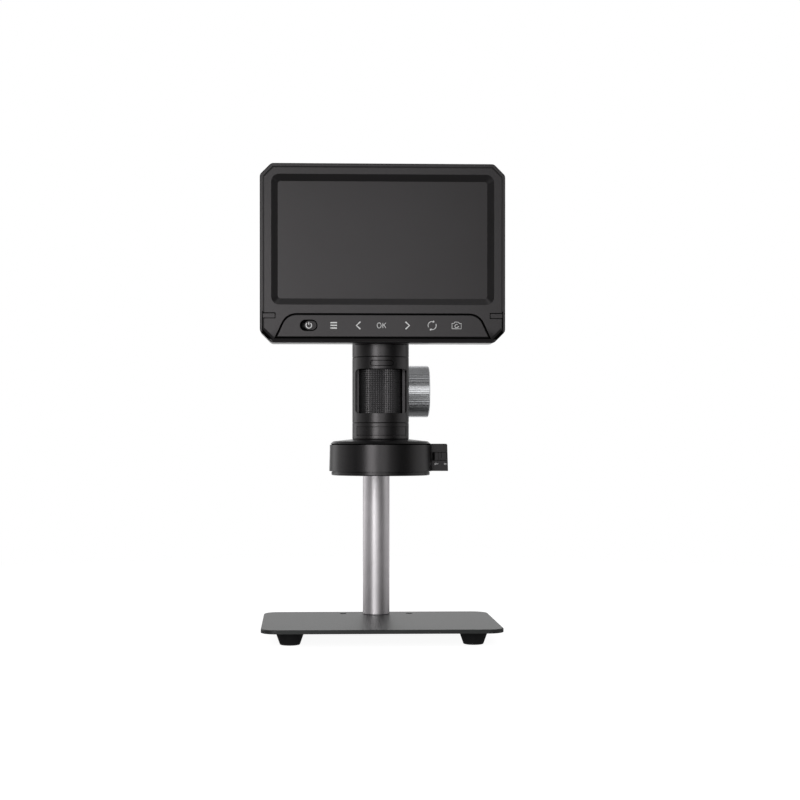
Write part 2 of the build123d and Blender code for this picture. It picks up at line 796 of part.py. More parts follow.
def make_focus_rack():
    """Rack whose tooth sits in the pinion's gap at rest."""
    slope = tan(radians(pressure_angle))
    root_y = pitch_y - gear_module
    tip_y = pitch_y + rack_addendum
    half_pitch_tooth = (tooth_pitch - tooth_backlash) / 4
    half_root = half_pitch_tooth + gear_module * slope
    half_tip = half_pitch_tooth - rack_addendum * slope
    length = rack_teeth * tooth_pitch
    z0 = drive_z - length / 2
    points = [(slide_back_y, z0), (root_y, z0)]
    for tooth in range(rack_teeth):
        z = z0 + (tooth + 0.5) * tooth_pitch
        points += [(root_y, z - half_root), (tip_y, z - half_tip), (tip_y, z + half_tip),
                   (root_y, z + half_root)]
    points += [(root_y, z0 + length), (slide_back_y, z0 + length)]
    section = Plane.YZ * make_face(Polyline(*points, close=True))
    return Pos(-rack_half_width, 0, 0) * extrude(section, 2 * rack_half_width)


def make_tube_housing():
    """Camera tube with the focus window, the button's slot and the slide's saddle."""
    tube = turned(0, tube_y, [
        (housing_bore, housing_z), (tube_radius - edge_break, housing_z),
        (tube_radius, housing_z + edge_break), (tube_radius, neck_z - edge_break),
        (tube_radius - edge_break, neck_z), (housing_bore, neck_z)])
    saddle = box(-saddle_half_width, saddle_half_width, tube_y, saddle_y,
                 drive_z - saddle_height / 2, drive_z + saddle_height / 2)
    tube += saddle - upright(0, tube_y, housing_z, neck_z, housing_bore)
    window = rectangle(2 * window_half_width, window_height, window_corner, 0, (window_z0 + window_z1) / 2)
    tube -= slab(window, tube_y - tube_radius - 1, tube_y - cage_face)
    tube -= slab(pill(button_width, button_height, 0, button_z),
                 tube_y - tube_radius - 1, tube_y - tube_radius / 2)
    for x, z in slide_screw_places():
        tube -= depth_rod(x, z, saddle_y - slide_screw_bite, saddle_y, slide_screw_radius + seat_gap)
    return tube


def make_ring_cage():
    """Sleeve inside the housing that carries the focus ring between two collars."""
    z0 = housing_z + spigot_height
    cage = ring(0, tube_y, z0, board_bottom, cage_bore, cage_radius)
    for low, high in ((z0, ring_z0 - face_gap), (ring_z1 + face_gap, ring_z1 + face_gap + cage_collar)):
        cage += ring(0, tube_y, low, high, ring_bore + 0.4, cage_bore)
    cage -= box(-tube_radius, tube_radius, tube_y - tube_radius, tube_y - cage_face,
                ring_z0 - face_gap, ring_z1 + face_gap)
    reach = button_width / 2 + button_tab + 1
    return cage - box(-reach, reach, tube_y - tube_radius, tube_y,
                      ring_z1 + face_gap + cage_collar, board_bottom)


def make_neck():
    """Top of the tube with a collar behind the head, which carries the hinge knuckle."""
    neck = turned(0, tube_y, [
        (0, collar_top), (tube_radius - edge_break, collar_top), (tube_radius, collar_top - edge_break),
        (tube_radius, neck_z + edge_break), (tube_radius - edge_break, neck_z), (cage_radius, neck_z),
        (cage_radius, board_top), (cage_radius - spigot_wall, board_top),
        (cage_radius - spigot_wall, shelf_z - tube_wall), (0, shelf_z - tube_wall)])
    neck -= box(-tube_radius, tube_radius, tube_y - tube_radius, collar_y, shelf_z, collar_top)
    neck += box(-knuckle_half_width, knuckle_half_width, tube_y - knuckle_radius, tube_y + knuckle_radius,
                collar_top - 1, pivot_z)
    neck += cross_rod(tube_y, pivot_z, -knuckle_half_width, knuckle_half_width, knuckle_radius)
    return neck - cross_rod(tube_y, pivot_z, -knuckle_half_width, knuckle_half_width,
                            hinge_pin_radius + running_gap)


def make_lower_barrel():
    """Lower part of the tube, whose inner web keeps the lens carrier from turning."""
    spigot_top = housing_z + spigot_height
    web_bottom = web_top - web_thickness
    inner = cage_radius - spigot_wall
    barrel = turned(0, tube_y, [
        (inner, barrel_z), (tube_radius - edge_break, barrel_z), (tube_radius, barrel_z + edge_break),
        (tube_radius, housing_z - edge_break), (tube_radius - edge_break, housing_z),
        (cage_radius, housing_z),
        (cage_radius, spigot_top), (inner, spigot_top)])
    barrel += ring(0, tube_y, web_bottom, web_top, carrier_neck_radius + running_gap, inner)
    barrel -= box(-key_width / 2 - running_gap, key_width / 2 + running_gap,
                  tube_y - carrier_neck_radius - key_depth - running_gap,
                  tube_y + carrier_neck_radius + key_depth + running_gap, web_bottom, web_top)
    return barrel - label_sector(0)


def label_sector(gap):
    """Curved plate in the barrel's front, smaller than its pocket by a gap all round."""
    z0 = barrel_z + label_rise + gap
    z1 = barrel_z + label_rise + label_height - gap
    shell = ring(0, tube_y, z0, z1, tube_radius - label_thickness, tube_radius + (1 if gap == 0 else 0))
    half = label_width / 2 - gap
    return shell & box(-half, half, tube_y - tube_radius - 2, tube_y, z0, z1)


def make_label_inlay():
    """Smooth curved label set in the lower barrel."""
    return label_sector(trim_gap)


def make_sensor_board():
    """Round board at the top of the tube, with a hole for its cable."""
    board = upright(0, tube_y, board_bottom, board_top, cage_radius)
    return board - upright(0, tube_y + cage_radius - 4, board_bottom, board_top, 1.6)


def make_image_sensor():
    """Image sensor under its board."""
    return box(-sensor_width / 2, sensor_width / 2, tube_y - sensor_depth / 2, tube_y + sensor_depth / 2,
               board_bottom - sensor_thickness, board_bottom)


def make_ir_filter():
    """Filter glass on the sensor."""
    top = board_bottom - sensor_thickness
    return box(-sensor_width / 2, sensor_width / 2, tube_y - sensor_depth / 2, tube_y + sensor_depth / 2,
               top - filter_thickness, top)


def snap_back():
    """Back of the snap button at rest."""
    return tube_y - housing_bore + 2.6


def make_snap_switch():
    """Small push switch behind the capture button."""
    face = snap_back() + button_travel + 0.1 + snap_plunger_length
    body = box(-snap_body_width / 2, snap_body_width / 2, face, face + snap_body_depth,
               button_z - 1.6, board_bottom)
    return body + depth_rod(0, button_z, face - snap_plunger_length, face, snap_plunger_radius)


def make_snap_button():
    """Pill whose face follows the tube, with a tab at either end behind the tube's wall."""
    height = button_height - 2 * button_gap
    front, back = tube_y - tube_radius, snap_back()
    low, high = button_z - height, button_z + height
    cap = slab(pill(button_width - 2 * button_gap, height, 0, button_z), front, back)
    cap &= upright(0, tube_y, low, high, tube_radius)
    tabs = slab(pill(button_width + 2 * button_tab, height, 0, button_z), front, back)
    tabs &= upright(0, tube_y, low, high, housing_bore - face_gap / 2)
    return cap + tabs


def make_focus_ring():
    """Plain core of the focus ring that is turned through the window."""
    return ring(0, tube_y, ring_z0, ring_z1, ring_bore, focus_ring_radius)


def make_lens_carrier():
    """Lens carrier with two keys that slide in the barrel's web."""
    z1 = carrier_z + carrier_head_height
    z0 = carrier_z - carrier_neck_length
    carrier = turned(0, tube_y, [
        (carrier_bore_radius, z0), (carrier_neck_radius, z0), (carrier_neck_radius, carrier_z),
        (carrier_radius, carrier_z), (carrier_radius, z1), (carrier_bore_radius, z1)])
    keys = box(-key_width / 2, key_width / 2, tube_y - carrier_neck_radius - key_depth,
               tube_y + carrier_neck_radius + key_depth,
               web_top - web_thickness - lens_travel - 1, carrier_z)
    return carrier + (keys - upright(0, tube_y, z0, z1, carrier_neck_radius - 0.5))


def lens_blank(z):
    """Lens with two convex faces about height z."""
    radius = carrier_bore_radius - seat_gap
    sag = (lens_thickness - lens_edge) / 2
    curve = (radius ** 2 + sag ** 2) / (2 * sag)
    lens = upright(0, tube_y, z - lens_thickness, z + lens_thickness, radius)
    for side in (-1, 1):
        lens &= Pos(0, tube_y, z + side * (curve - lens_thickness / 2)) * Sphere(curve)
    return lens


def make_lens_elements():
    """Three lenses in the carrier."""
    first = carrier_z - carrier_neck_length + retainer_height + lens_thickness / 2
    return [lens_blank(first + step * lens_step) for step in range(3)]


def make_lens_retainer():
    """Ring that holds the lenses in."""
    z0 = carrier_z - carrier_neck_length
    return ring(0, tube_y, z0, z0 + retainer_height, retainer_hole_radius, carrier_bore_radius - seat_gap)


# ================================================================ ring light
def wall_radius(z):
    """Outside radius of the ring light's slightly tapered wall."""
    share = (z - wall_z) / ring_wall_height
    return ring_bottom_radius + (ring_top_radius - ring_bottom_radius) * share


def ring_inner():
    """Inside radius of the ring light's wall."""
    return ring_bottom_radius - ring_wall - 0.5


def make_ring_cover():
    """Conical cover of the ring light with the shield round the lens."""
    rim_top = cover_z + cover_rim
    cone_foot = rim_top + cover_bevel_height
    rim_radius = ring_top_radius - edge_break
    spigot = ring_inner() - seat_gap
    spigot_bottom = cover_z - cover_spigot
    return turned(0, tube_y, [
        (shield_radius - shield_wall, barrel_z), (tube_radius - edge_break, barrel_z),
        (rim_radius - cover_shoulder, cone_foot), (rim_radius, rim_top),
        (rim_radius - cover_groove, rim_top), (rim_radius - cover_groove, cover_z), (spigot, cover_z),
        (spigot, spigot_bottom), (spigot - cover_spigot_wall, spigot_bottom),
        (spigot - cover_spigot_wall, cover_z), (shield_radius, cover_z),
        (shield_radius, diffuser_top() + face_gap),
        (shield_radius - shield_wall, diffuser_top() + face_gap)])


def diffuser_top():
    """Upper face of the diffuser."""
    return wall_z + diffuser_thickness


def box_room():
    """Space that the switch box fills outside the ring light's wall."""
    shell = turned(0, tube_y, [
        (0, wall_z - 1), (wall_radius(wall_z - 1) + seat_gap, wall_z - 1),
        (wall_radius(cover_z + 2) + seat_gap, cover_z + 2), (0, cover_z + 2)])
    top = wall_z + switch_box_height
    face = make_face(Polyline((ring_inner(), wall_z), (switch_box_reach, wall_z),
                              (switch_box_reach - switch_box_lean, top), (ring_inner(), top), close=True))
    corner = face.vertices().group_by(Axis.Y)[-1].sort_by(Axis.X)[-1]
    return slab(fillet(corner, switch_box_corner), switch_y - switch_box_depth / 2,
                switch_y + switch_box_depth / 2) - shell


def make_ring_housing():
    """Outer wall of the ring light with the switch wires' hole."""
    wall = turned(0, tube_y, [
        (ring_inner(), wall_z), (ring_bottom_radius, wall_z), (ring_top_radius, cover_z),
        (ring_inner(), cover_z)])
    wall -= cross_rod(switch_y, wall_z + light_slot_rise, 0, ring_bottom_radius + 1, 2.0)
    for x, y in lip_screw_places():
        wall -= upright(x, y, wall_z, wall_z + lip_screw_length, lip_screw_radius + seat_gap)
    return wall


def lip_screw_places():
    """Axes of the screws that hold the lip."""
    angles = [90 + 360 * step / lip_screw_count for step in range(lip_screw_count)]
    return [(lip_screw_circle * cos(radians(a)), tube_y + lip_screw_circle * sin(radians(a)))
            for a in angles]


def make_ring_lip():
    """Lower lip of the ring light."""
    inner = lip_radius - lip_width
    lip = turned(0, tube_y, [
        (inner, lip_z), (lip_radius - 0.5, lip_z), (lip_radius, lip_z + 0.5),
        (lip_radius, wall_z - lip_groove), (lip_radius - lip_groove, wall_z - lip_groove),
        (lip_radius - lip_groove, wall_z), (inner, wall_z)])
    for x, y in lip_screw_places():
        lip -= upright(x, y, lip_z, wall_z, lip_screw_radius + seat_gap)
        lip -= upright(x, y, lip_z, lip_z + lip_screw_head_height + 0.2, lip_screw_head_radius + seat_gap)
    return lip


def make_lip_screws():
    """Slotted screws of the lip."""
    screws = []
    seat = lip_z + lip_screw_head_height + 0.2
    for x, y in lip_screw_places():
        head = upright(x, y, seat - lip_screw_head_height, seat, lip_screw_head_radius)
        shank = upright(x, y, seat, seat + lip_screw_length, lip_screw_radius)
        slot = Pos(x, y, seat - lip_screw_head_height) * Box(2 * lip_screw_head_radius, 0.4, 0.8)
        screws.append(head + shank - slot)
    return screws


def make_led_board():
    """Ring-shaped board of the lamps."""
    top = cover_z - cover_spigot
    return ring(0, tube_y, top - led_board_thickness, top, shield_radius + face_gap, ring_inner() - 0.4)


def make_leds():
    """Lamps in a circle round the lens."""
    top = cover_z - cover_spigot - led_board_thickness
    lamps = []
    for step in range(led_count):
        angle = 360 * (step + 0.5) / led_count
        lamp = Pos(led_circle_radius, 0, 0) * box(-led_size / 2, led_size / 2, -led_size / 2, led_size / 2,
                                                  top - led_height, top)
        lamps.append(Pos(0, tube_y, 0) * Rot(0, 0, angle) * lamp)
    return lamps


def make_light_diffuser():
    """Flat ring that spreads the lamps' light."""
    return ring(0, tube_y, wall_z, diffuser_top(), shield_radius - shield_wall, ring_inner() - 0.2)


def light_slot_z():
    """Middle height of the light switch's slot."""
    return wall_z + light_slot_rise


def make_switch_box():
    """Box of the light switch, moulded to the ring light's wall."""
    shell = box_room()
    wall = switch_box_wall
    y0, y1 = switch_y - switch_box_depth / 2, switch_y + switch_box_depth / 2
    shell -= box(0, switch_box_reach - wall, y0 + wall, y1 - wall,
                 wall_z + wall, wall_z + switch_box_height - wall)
    half_w, half_h = light_slot_width / 2, light_slot_height / 2
    slot = box(light_slot_centre_x - half_w, light_slot_centre_x + half_w, y0, y0 + wall,
               light_slot_z() - half_h, light_slot_z() + half_h)
    return shell - slot


def light_body_front():
    """Front face of the light switch's body."""
    return switch_y - switch_box_depth / 2 + switch_box_wall + face_gap


def make_light_switch_body():
    """Body of the light switch with its legs to the back of the box."""
    y0 = light_body_front()
    half_w, half_h = light_slot_width / 2 - 0.8, light_slot_height / 2 + light_body_margin
    body = box(light_slot_centre_x - half_w, light_slot_centre_x + half_w, y0, y0 + light_body_depth,
               light_slot_z() - half_h, light_slot_z() + half_h)
    room = switch_stem_width / 2 + light_travel() + face_gap
    half_room = switch_stem_width / 2 + face_gap
    body -= box(light_slot_centre_x - room, light_slot_centre_x + room, y0, y0 + 3.0,
                light_slot_z() - half_room, light_slot_z() + half_room)
    legs = box(light_slot_centre_x - 3, light_slot_centre_x + 3, y0 + light_body_depth,
               switch_y + switch_box_depth / 2 - switch_box_wall, light_slot_z() - 3, light_slot_z() + 3)
    return body + legs


def light_travel():
    """Travel of the light switch's slider."""
    return light_slot_width - light_slider_width - 2 * light_end_gap


def make_light_switch():
    """Ribbed slider of the light switch."""
    x1 = light_slot_centre_x + light_slot_width / 2 - light_end_gap
    x0 = x1 - light_slider_width
    half_h = light_slot_height / 2 - 0.25
    y1 = light_body_front() - face_gap / 2
    y0 = y1 - light_slider_depth
    slider = box(x0, x1, y0, y1, light_slot_z() - half_h, light_slot_z() + half_h)
    for share in (0.33, 0.57):
        x = x0 + share * light_slider_width
        slider -= box(x - 0.3, x + 0.3, y0, y0 + 0.8, light_slot_z() - half_h, light_slot_z() + half_h)
    stem_x = light_slot_centre_x + light_travel() / 2
    half = switch_stem_width / 2
    return slider + box(stem_x - half, stem_x + half, y1, y1 + 2.2,
                        light_slot_z() - half, light_slot_z() + half)


# ================================================================ head
def head_outline(side, bottom, top, bevel):
    """Head outline, inset by a margin at its sides, bottom and top."""
    half = head_width / 2 - side
    return bevelled_outline(-half, half, head_z + bottom, head_top - top, bevel)


def head_taper(front, back, y0, y1):
    """Solid that changes evenly from one head outline to another."""
    return loft([Plane.XZ.offset(-y0) * front, Plane.XZ.offset(-y1) * back], ruled=True)


def head_prism():
    """Full depth of the head with its corners rounded, which trims the shells."""
    outline = head_outline(0, 0, 0, head_corner)
    return slab(fillet(outline.vertices(), corner_round), head_y - 1, head_y + head_depth)


def screen_opening(margin, corner):
    """Rounded rectangle round the screen's lit area."""
    return rectangle(screen_width + 2 * margin, screen_height + 2 * margin, corner, 0, screen_z)


def case_screw_places():
    """Axes of the four screws that join the head's shells."""
    half = head_width / 2 - case_screw_inset
    heights = (head_z + case_screw_rise, head_top - case_screw_drop)
    return [(side * half, z) for side in (-1, 1) for z in heights]


def panel_outline(margin):
    """Key panel, grown by a margin: slanted sides that curve into the upper edge."""
    lean = atan2(panel_bottom_half - panel_top_half, panel_height)
    z0 = head_z + panel_rise - margin
    z1 = head_z + panel_rise + panel_height + margin
    low = panel_bottom_half + margin * (1 + sin(lean)) / cos(lean)
    high = panel_top_half + margin * (1 - sin(lean)) / cos(lean)
    face = make_face(Polyline((-low, z0), (low, z0), (high, z1), (-high, z1), close=True))
    return fillet(face.vertices().group_by(Axis.Y)[-1], panel_shoulder + margin)


def make_front_bezel():
    """Front shell of the head with its stepped rim and sloping screen opening."""
    rim_y = head_y + rim_setback
    back_y = head_y + bezel_depth
    full = head_outline(0, 0, 0, head_corner)
    shell = slab(full, rim_y + rim_bevel, back_y)
    shell += head_taper(head_outline(rim_bevel, rim_bevel, rim_bevel, head_corner - rim_bevel / 2), full,
                        rim_y, rim_y + rim_bevel)
    shell += head_taper(
        head_outline(plateau_side, plateau_bottom, plateau_top, head_corner - 1.6),
        head_outline(plateau_foot_side, plateau_foot_bottom, plateau_foot_side, head_corner - 1.0),
        head_y, rim_y)
    shell &= head_prism()
    inside_y = head_y + bezel_front_wall
    outer = shell
    shell -= slab(head_outline(side_wall, side_wall, side_wall, head_corner - 1), inside_y, back_y)
    recess = loft([
        Plane.XZ.offset(-head_y) * screen_opening(recess_slope, recess_corner),
        Plane.XZ.offset(-inside_y) * screen_opening(screen_margin, screen_corner)], ruled=True)
    shell -= recess
    shell -= slab(panel_outline(panel_gap), head_y - 1, panel_back_y())
    shell -= both_sides(slab(inlay_outline(inlay_gap), head_y - 1, inlay_back_y()))
    half = power_stem_room() / 2
    shell -= box(power_x - half, power_x + half, head_y, inside_y,
                 key_z - power_stem_height / 2 - face_gap, key_z + power_stem_height / 2 + face_gap)
    for x, z in case_screw_places():
        shell += depth_rod(x, z, inside_y - 0.5, back_y, case_boss_radius) & outer
        shell -= depth_rod(x, z, back_y - case_screw_bite, back_y, case_screw_radius + seat_gap)
    return shell


def inlay_outline(margin):
    """Outline of the right side inlay."""
    width = inlay_outer - inlay_inner + 2 * margin
    height = inlay_height + 2 * margin
    return Pos((inlay_inner + inlay_outer) / 2, head_z + inlay_rise) * RectangleRounded(width, height, 0.6)


def inlay_back_y():
    """Rear face of the side inlays."""
    return head_y + rim_setback + 0.6


def panel_back_y():
    """Rear face of the key panel."""
    return head_y + panel_thickness - panel_proud


def make_side_inlays():
    """Two small inlays beside the key panel."""
    half = slab(inlay_outline(0), inlay_back_y() - inlay_thickness, inlay_back_y())
    return [half, mirror(half, Plane.YZ)]


def power_stem_room():
    """Length of the slot that the power slider's stem travels in."""
    return power_stem_width + 2 * power_travel + 2 * face_gap


def make_button_panel():
    """Key panel with the power switch's recess."""
    front = head_y - panel_proud
    panel = slab(panel_outline(0), front, panel_back_y())
    panel = chamfer(panel.faces().sort_by(Axis.Y)[0].edges(), panel_bevel)
    panel -= slab(pill(power_recess_width, power_recess_height, power_x, key_z),
                  front, front + power_recess_depth)
    half = power_stem_room() / 2
    return panel - box(power_x - half, power_x + half, front, panel_back_y(),
                       key_z - power_stem_height / 2 - face_gap, key_z + power_stem_height / 2 + face_gap)


def power_slider_x():
    """Middle of the slider at rest, at the right end of its recess."""
    return power_x + (power_recess_width - power_slider_width) / 2 - power_end_gap


def make_power_slider():
    """Pill-shaped slider of the power switch."""
    front = head_y - panel_proud
    y0 = front + 0.1
    y1 = front + power_recess_depth - 0.15
    knob = slab(pill(power_slider_width, power_slider_height, power_slider_x(), key_z), y0, y1)
    knob = chamfer(knob.faces().sort_by(Axis.Y)[0].edges(), 0.25)
    stem_x = power_x + power_travel / 2
    half = power_stem_width / 2
    return knob + box(stem_x - half, stem_x + half, y1, touch_board_y() - 0.3,
                      key_z - power_stem_height / 2, key_z + power_stem_height / 2)


def touch_board_y():
    """Front face of the touch board."""
    return head_y + bezel_front_wall


def make_touch_board():
    """Board under the touch keys."""
    y0 = touch_board_y()
    return box(-touch_board_width / 2, touch_board_width / 2, y0, y0 + board_thickness,
               key_z - touch_board_height / 2, key_z + touch_board_height / 2)


def make_power_switch_body():
    """Body of the power switch on the touch board."""
    y0 = touch_board_y() + board_thickness
    return box(power_x - power_body_width / 2, power_x + power_body_width / 2, y0, y0 + power_body_depth,
               key_z - power_body_height / 2, key_z + power_body_height / 2)


def glass_y():
    """Front face of the screen glass."""
    return head_y + bezel_front_wall


def make_screen_glass():
    """Glass over the display."""
    return slab(screen_opening(glass_border, screen_corner), glass_y(), glass_y() + glass_thickness)


def lcd_y():
    """Front face of the display panel."""
    return glass_y() + glass_thickness


def make_lcd_panel():
    """Display panel."""
    return slab(rectangle(lcd_width, lcd_height, 1.0, 0, screen_z), lcd_y(), lcd_y() + lcd_thickness)


def main_board_y():
    """Front face of the main board."""
    return lcd_y() + lcd_thickness + board_space


def make_main_board():
    """Main board on four posts, with a wing that carries the ports."""
    y0 = main_board_y()
    board = box(-main_board_width / 2, main_board_width / 2, y0, y0 + board_thickness,
                screen_z - main_board_height / 2, screen_z + main_board_height / 2)
    for x in (-1, 1):
        for z in (-1, 1):
            px = x * (main_board_width / 2 - 4)
            pz = screen_z + z * (main_board_height / 2 - 4)
            board += depth_rod(px, pz, lcd_y() + lcd_thickness, y0, 2.4)
    wing_top = head_z + card_rise + card_width / 2 + 3
    wing_bottom = head_z + usb_rise - usb_width / 2 - 3
    return board + box(main_board_width / 2 - 1, port_outer_x(), y0, y0 + board_thickness,
                       wing_bottom, wing_top)


def port_outer_x():
    """Outer end of the ports."""
    return head_width / 2 - side_wall - 0.3


def make_battery_pack():
    """Flat battery pack."""
    y0 = main_board_y() + board_thickness + 0.2
    pack = slab(rectangle(battery_width, battery_height, 3.0, -battery_offset, screen_z),
                y0, y0 + battery_thickness)
    return fillet(pack.edges().filter_by(GeomType.LINE).group_by(Axis.Y)[-1], 1.5)


def port_y():
    """Middle plane of the ports."""
    return head_y + port_setback


def make_usb_port():
    """Charging port with its tongue."""
    x1 = port_outer_x()
    z = head_z + usb_rise
    y0 = main_board_y() + board_thickness
    shell = box(x1 - usb_length, x1, y0, port_y() + usb_height / 2, z - usb_width / 2, z + usb_width / 2)
    cavity = box(x1 - usb_length + 1, x1, y0 + 0.6, port_y() + usb_height / 2 - 0.4,
                 z - usb_width / 2 + 0.4, z + usb_width / 2 - 0.4)
    tongue_y = port_y()
    tongue = box(x1 - usb_length + 0.5, x1 - 1, tongue_y - 0.3, tongue_y + 0.3, z - 3, z + 3)
    return shell - cavity + tongue


def make_card_slot():
    """Memory card slot."""
    x1 = port_outer_x()
    z = head_z + card_rise
    y0 = main_board_y() + board_thickness
    y1 = port_y() + card_body_height / 2
    shell = box(x1 - card_length, x1, y0, y1, z - card_width / 2 - 1, z + card_width / 2 + 1)
    return shell - box(x1 - card_length + 1, x1, port_y() - card_height / 2, port_y() + card_height / 2,
                       z - card_width / 2, z + card_width / 2)


def make_rear_cover():
    """Rear shell of the head with the hinge lugs, vents and port openings."""
    front_y = head_y + bezel_depth
    back_y = head_y + head_depth
    full = head_outline(0, 0, 0, head_corner)
    shell = slab(full, front_y, back_y - rear_bevel)
    shell += head_taper(full, head_outline(rear_bevel, rear_bevel, rear_bevel, head_corner - rear_bevel / 2),
                        back_y - rear_bevel, back_y)
    shell &= head_prism()
    outer = shell
    shell -= slab(head_outline(side_wall, side_wall, side_wall, head_corner - 1),
                  front_y, back_y - back_wall)
    inner_x, outer_x = lug_span()
    lug = box(inner_x, outer_x, back_y - back_wall / 2, tube_y,
              pivot_z - knuckle_radius, pivot_z + knuckle_radius)
    lug += cross_rod(tube_y, pivot_z, inner_x, outer_x, knuckle_radius)
    shell += both_sides(lug)
    shell -= cross_rod(tube_y, pivot_z, -outer_x, outer_x, hinge_pin_radius + seat_gap)
    for step in range(vent_count):
        z = head_top - vent_drop - step * vent_pitch
        shell -= both_sides(slab(pill(vent_width, vent_height, vent_centre, z), back_y - back_wall - 1,
                                 back_y))
    for x, z in case_screw_places():
        seat = back_y - back_wall - 2
        shell += depth_rod(x, z, front_y, back_y, case_boss_radius) & outer
        shell -= depth_rod(x, z, front_y, back_y, case_screw_radius + seat_gap)
        shell -= depth_rod(x, z, seat, back_y, case_screw_head_radius + 0.15)
    side_x = head_width / 2 - side_wall - 1
    for rise, width, height in ((usb_rise, usb_width, usb_height), (card_rise, card_width, card_height)):
        z = head_z + rise
        shell -= box(side_x, head_width / 2, port_y() - height / 2 - 0.3, port_y() + height / 2 + 0.3,
                     z - width / 2 - 0.3, z + width / 2 + 0.3)
    return shell


def lug_span():
    """Inner and outer face of a hinge lug, as distances from the middle plane."""
    inner = knuckle_half_width + washer_wall + 2 * running_gap
    return inner, inner + lug_width


def make_rear_cover_screws():
    """Cross-head screws of the rear shell."""
    screws = []
    seat = head_y + head_depth - back_wall - 2
    for x, z in case_screw_places():
        head = depth_rod(x, z, seat, seat + case_screw_head_height, case_screw_head_radius)
        tip = head_y + bezel_depth - case_screw_bite + face_gap
        shank = depth_rod(x, z, tip, seat, case_screw_radius)
        cross = slab(Pos(x, z) * (Rectangle(2.0, 0.5) + Rectangle(0.5, 2.0)),
                     seat + case_screw_head_height - 0.9, seat + case_screw_head_height)
        screws.append(head + shank - cross)
    return screws


def make_hinge_pin():
    """Hinge pin with a cap at either end."""
    outer = lug_span()[1]
    pin = cross_rod(tube_y, pivot_z, -outer, outer, hinge_pin_radius)
    pin += cross_rod(tube_y, pivot_z, outer, outer + hinge_pin_cap, hinge_pin_cap_radius)
    return pin + cross_rod(tube_y, pivot_z, -outer - hinge_pin_cap, -outer, hinge_pin_cap_radius)


def make_hinge_washers():
    """Friction washers between knuckle and lugs."""
    x0 = knuckle_half_width + running_gap
    disc = cross_rod(tube_y, pivot_z, x0, x0 + washer_wall, knuckle_radius - 1)
    disc -= cross_rod(tube_y, pivot_z, x0, x0 + washer_wall, hinge_pin_radius + running_gap)
    return [disc, mirror(disc, Plane.YZ)]


NODES = {
    "base_plate": make_base_plate,
    "rubber_feet": make_rubber_feet,
    "foot_screws": make_foot_screws,
    "column": make_column,
    "column_cap": make_column_cap,
    "column_washer": make_column_washer,
    "column_bolt": make_column_bolt,
    "focus_block": make_focus_block,
    "column_bushes": make_column_bushes,
    "lock_pad": make_lock_pad,
    "slide_gib": make_slide_gib,
    "gib_screws": make_gib_screws,
    "pinion_bushes": make_pinion_bushes,
    "pinion_shaft": make_pinion_shaft,
    "shaft_clip": make_shaft_clip,
    "focus_knob": make_focus_knob,
    "knob_set_screw": make_knob_set_screw,
    "lock_stud": make_lock_stud,
    "lock_knob": make_lock_knob,
    "focus_slide": make_focus_slide,
    "slide_screws": make_slide_screws,
    "focus_rack": make_focus_rack,
    "tube_housing": make_tube_housing,
    "ring_cage": make_ring_cage,
    "neck": make_neck,
    "lower_barrel": make_lower_barrel,
    "label_inlay": make_label_inlay,
    "sensor_board": make_sensor_board,
    "image_sensor": make_image_sensor,
    "ir_filter": make_ir_filter,
    "snap_switch": make_snap_switch,
    "snap_button": make_snap_button,
    "focus_ring": make_focus_ring,
    "lens_carrier": make_lens_carrier,
    "lens_elements": make_lens_elements,
    "lens_retainer": make_lens_retainer,
    "ring_cover": make_ring_cover,
    "ring_housing": make_ring_housing,
    "ring_lip": make_ring_lip,
    "lip_screws": make_lip_screws,
    "led_board": make_led_board,
    "leds": make_leds,
    "light_diffuser": make_light_diffuser,
    "switch_box": make_switch_box,
    "light_switch_body": make_light_switch_body,
    "light_switch": make_light_switch,
    "front_bezel": make_front_bezel,
    "side_inlays": make_side_inlays,
    "button_panel": make_button_panel,
    "power_slider": make_power_slider,
    "touch_board": make_touch_board,
    "power_switch_body": make_power_switch_body,
    "screen_glass": make_screen_glass,
    "lcd_panel": make_lcd_panel,
    "main_board": make_main_board,
    "battery_pack": make_battery_pack,
    "io_ports": lambda: [make_usb_port(), make_card_slot()],
    "rear_cover": make_rear_cover,
    "rear_cover_screws": make_rear_cover_screws,
    "hinge_set": lambda: [make_hinge_pin()] + make_hinge_washers(),
}

os.makedirs("parts", exist_ok=True)
for node, make in NODES.items():
    made = make()
    pieces = made if isinstance(made, list) else [made]
    solids = [solid for piece in pieces for solid in piece.solids()]
    export_step(solids[0] if len(solids) == 1 else Compound(children=solids), f"parts/{node}.step")
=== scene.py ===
"""Digital microscope with a tilting display head, dressed with its finishes.

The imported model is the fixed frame. Each class below dresses one sub-assembly: it copies or
rebuilds the pieces whose edges and surfaces are seen, and gives each its finish.
All lengths are in metres.
"""
from __future__ import annotations

import logging
import math
from collections.abc import Callable, Sequence
from dataclasses import dataclass
from enum import Enum
from typing import Any

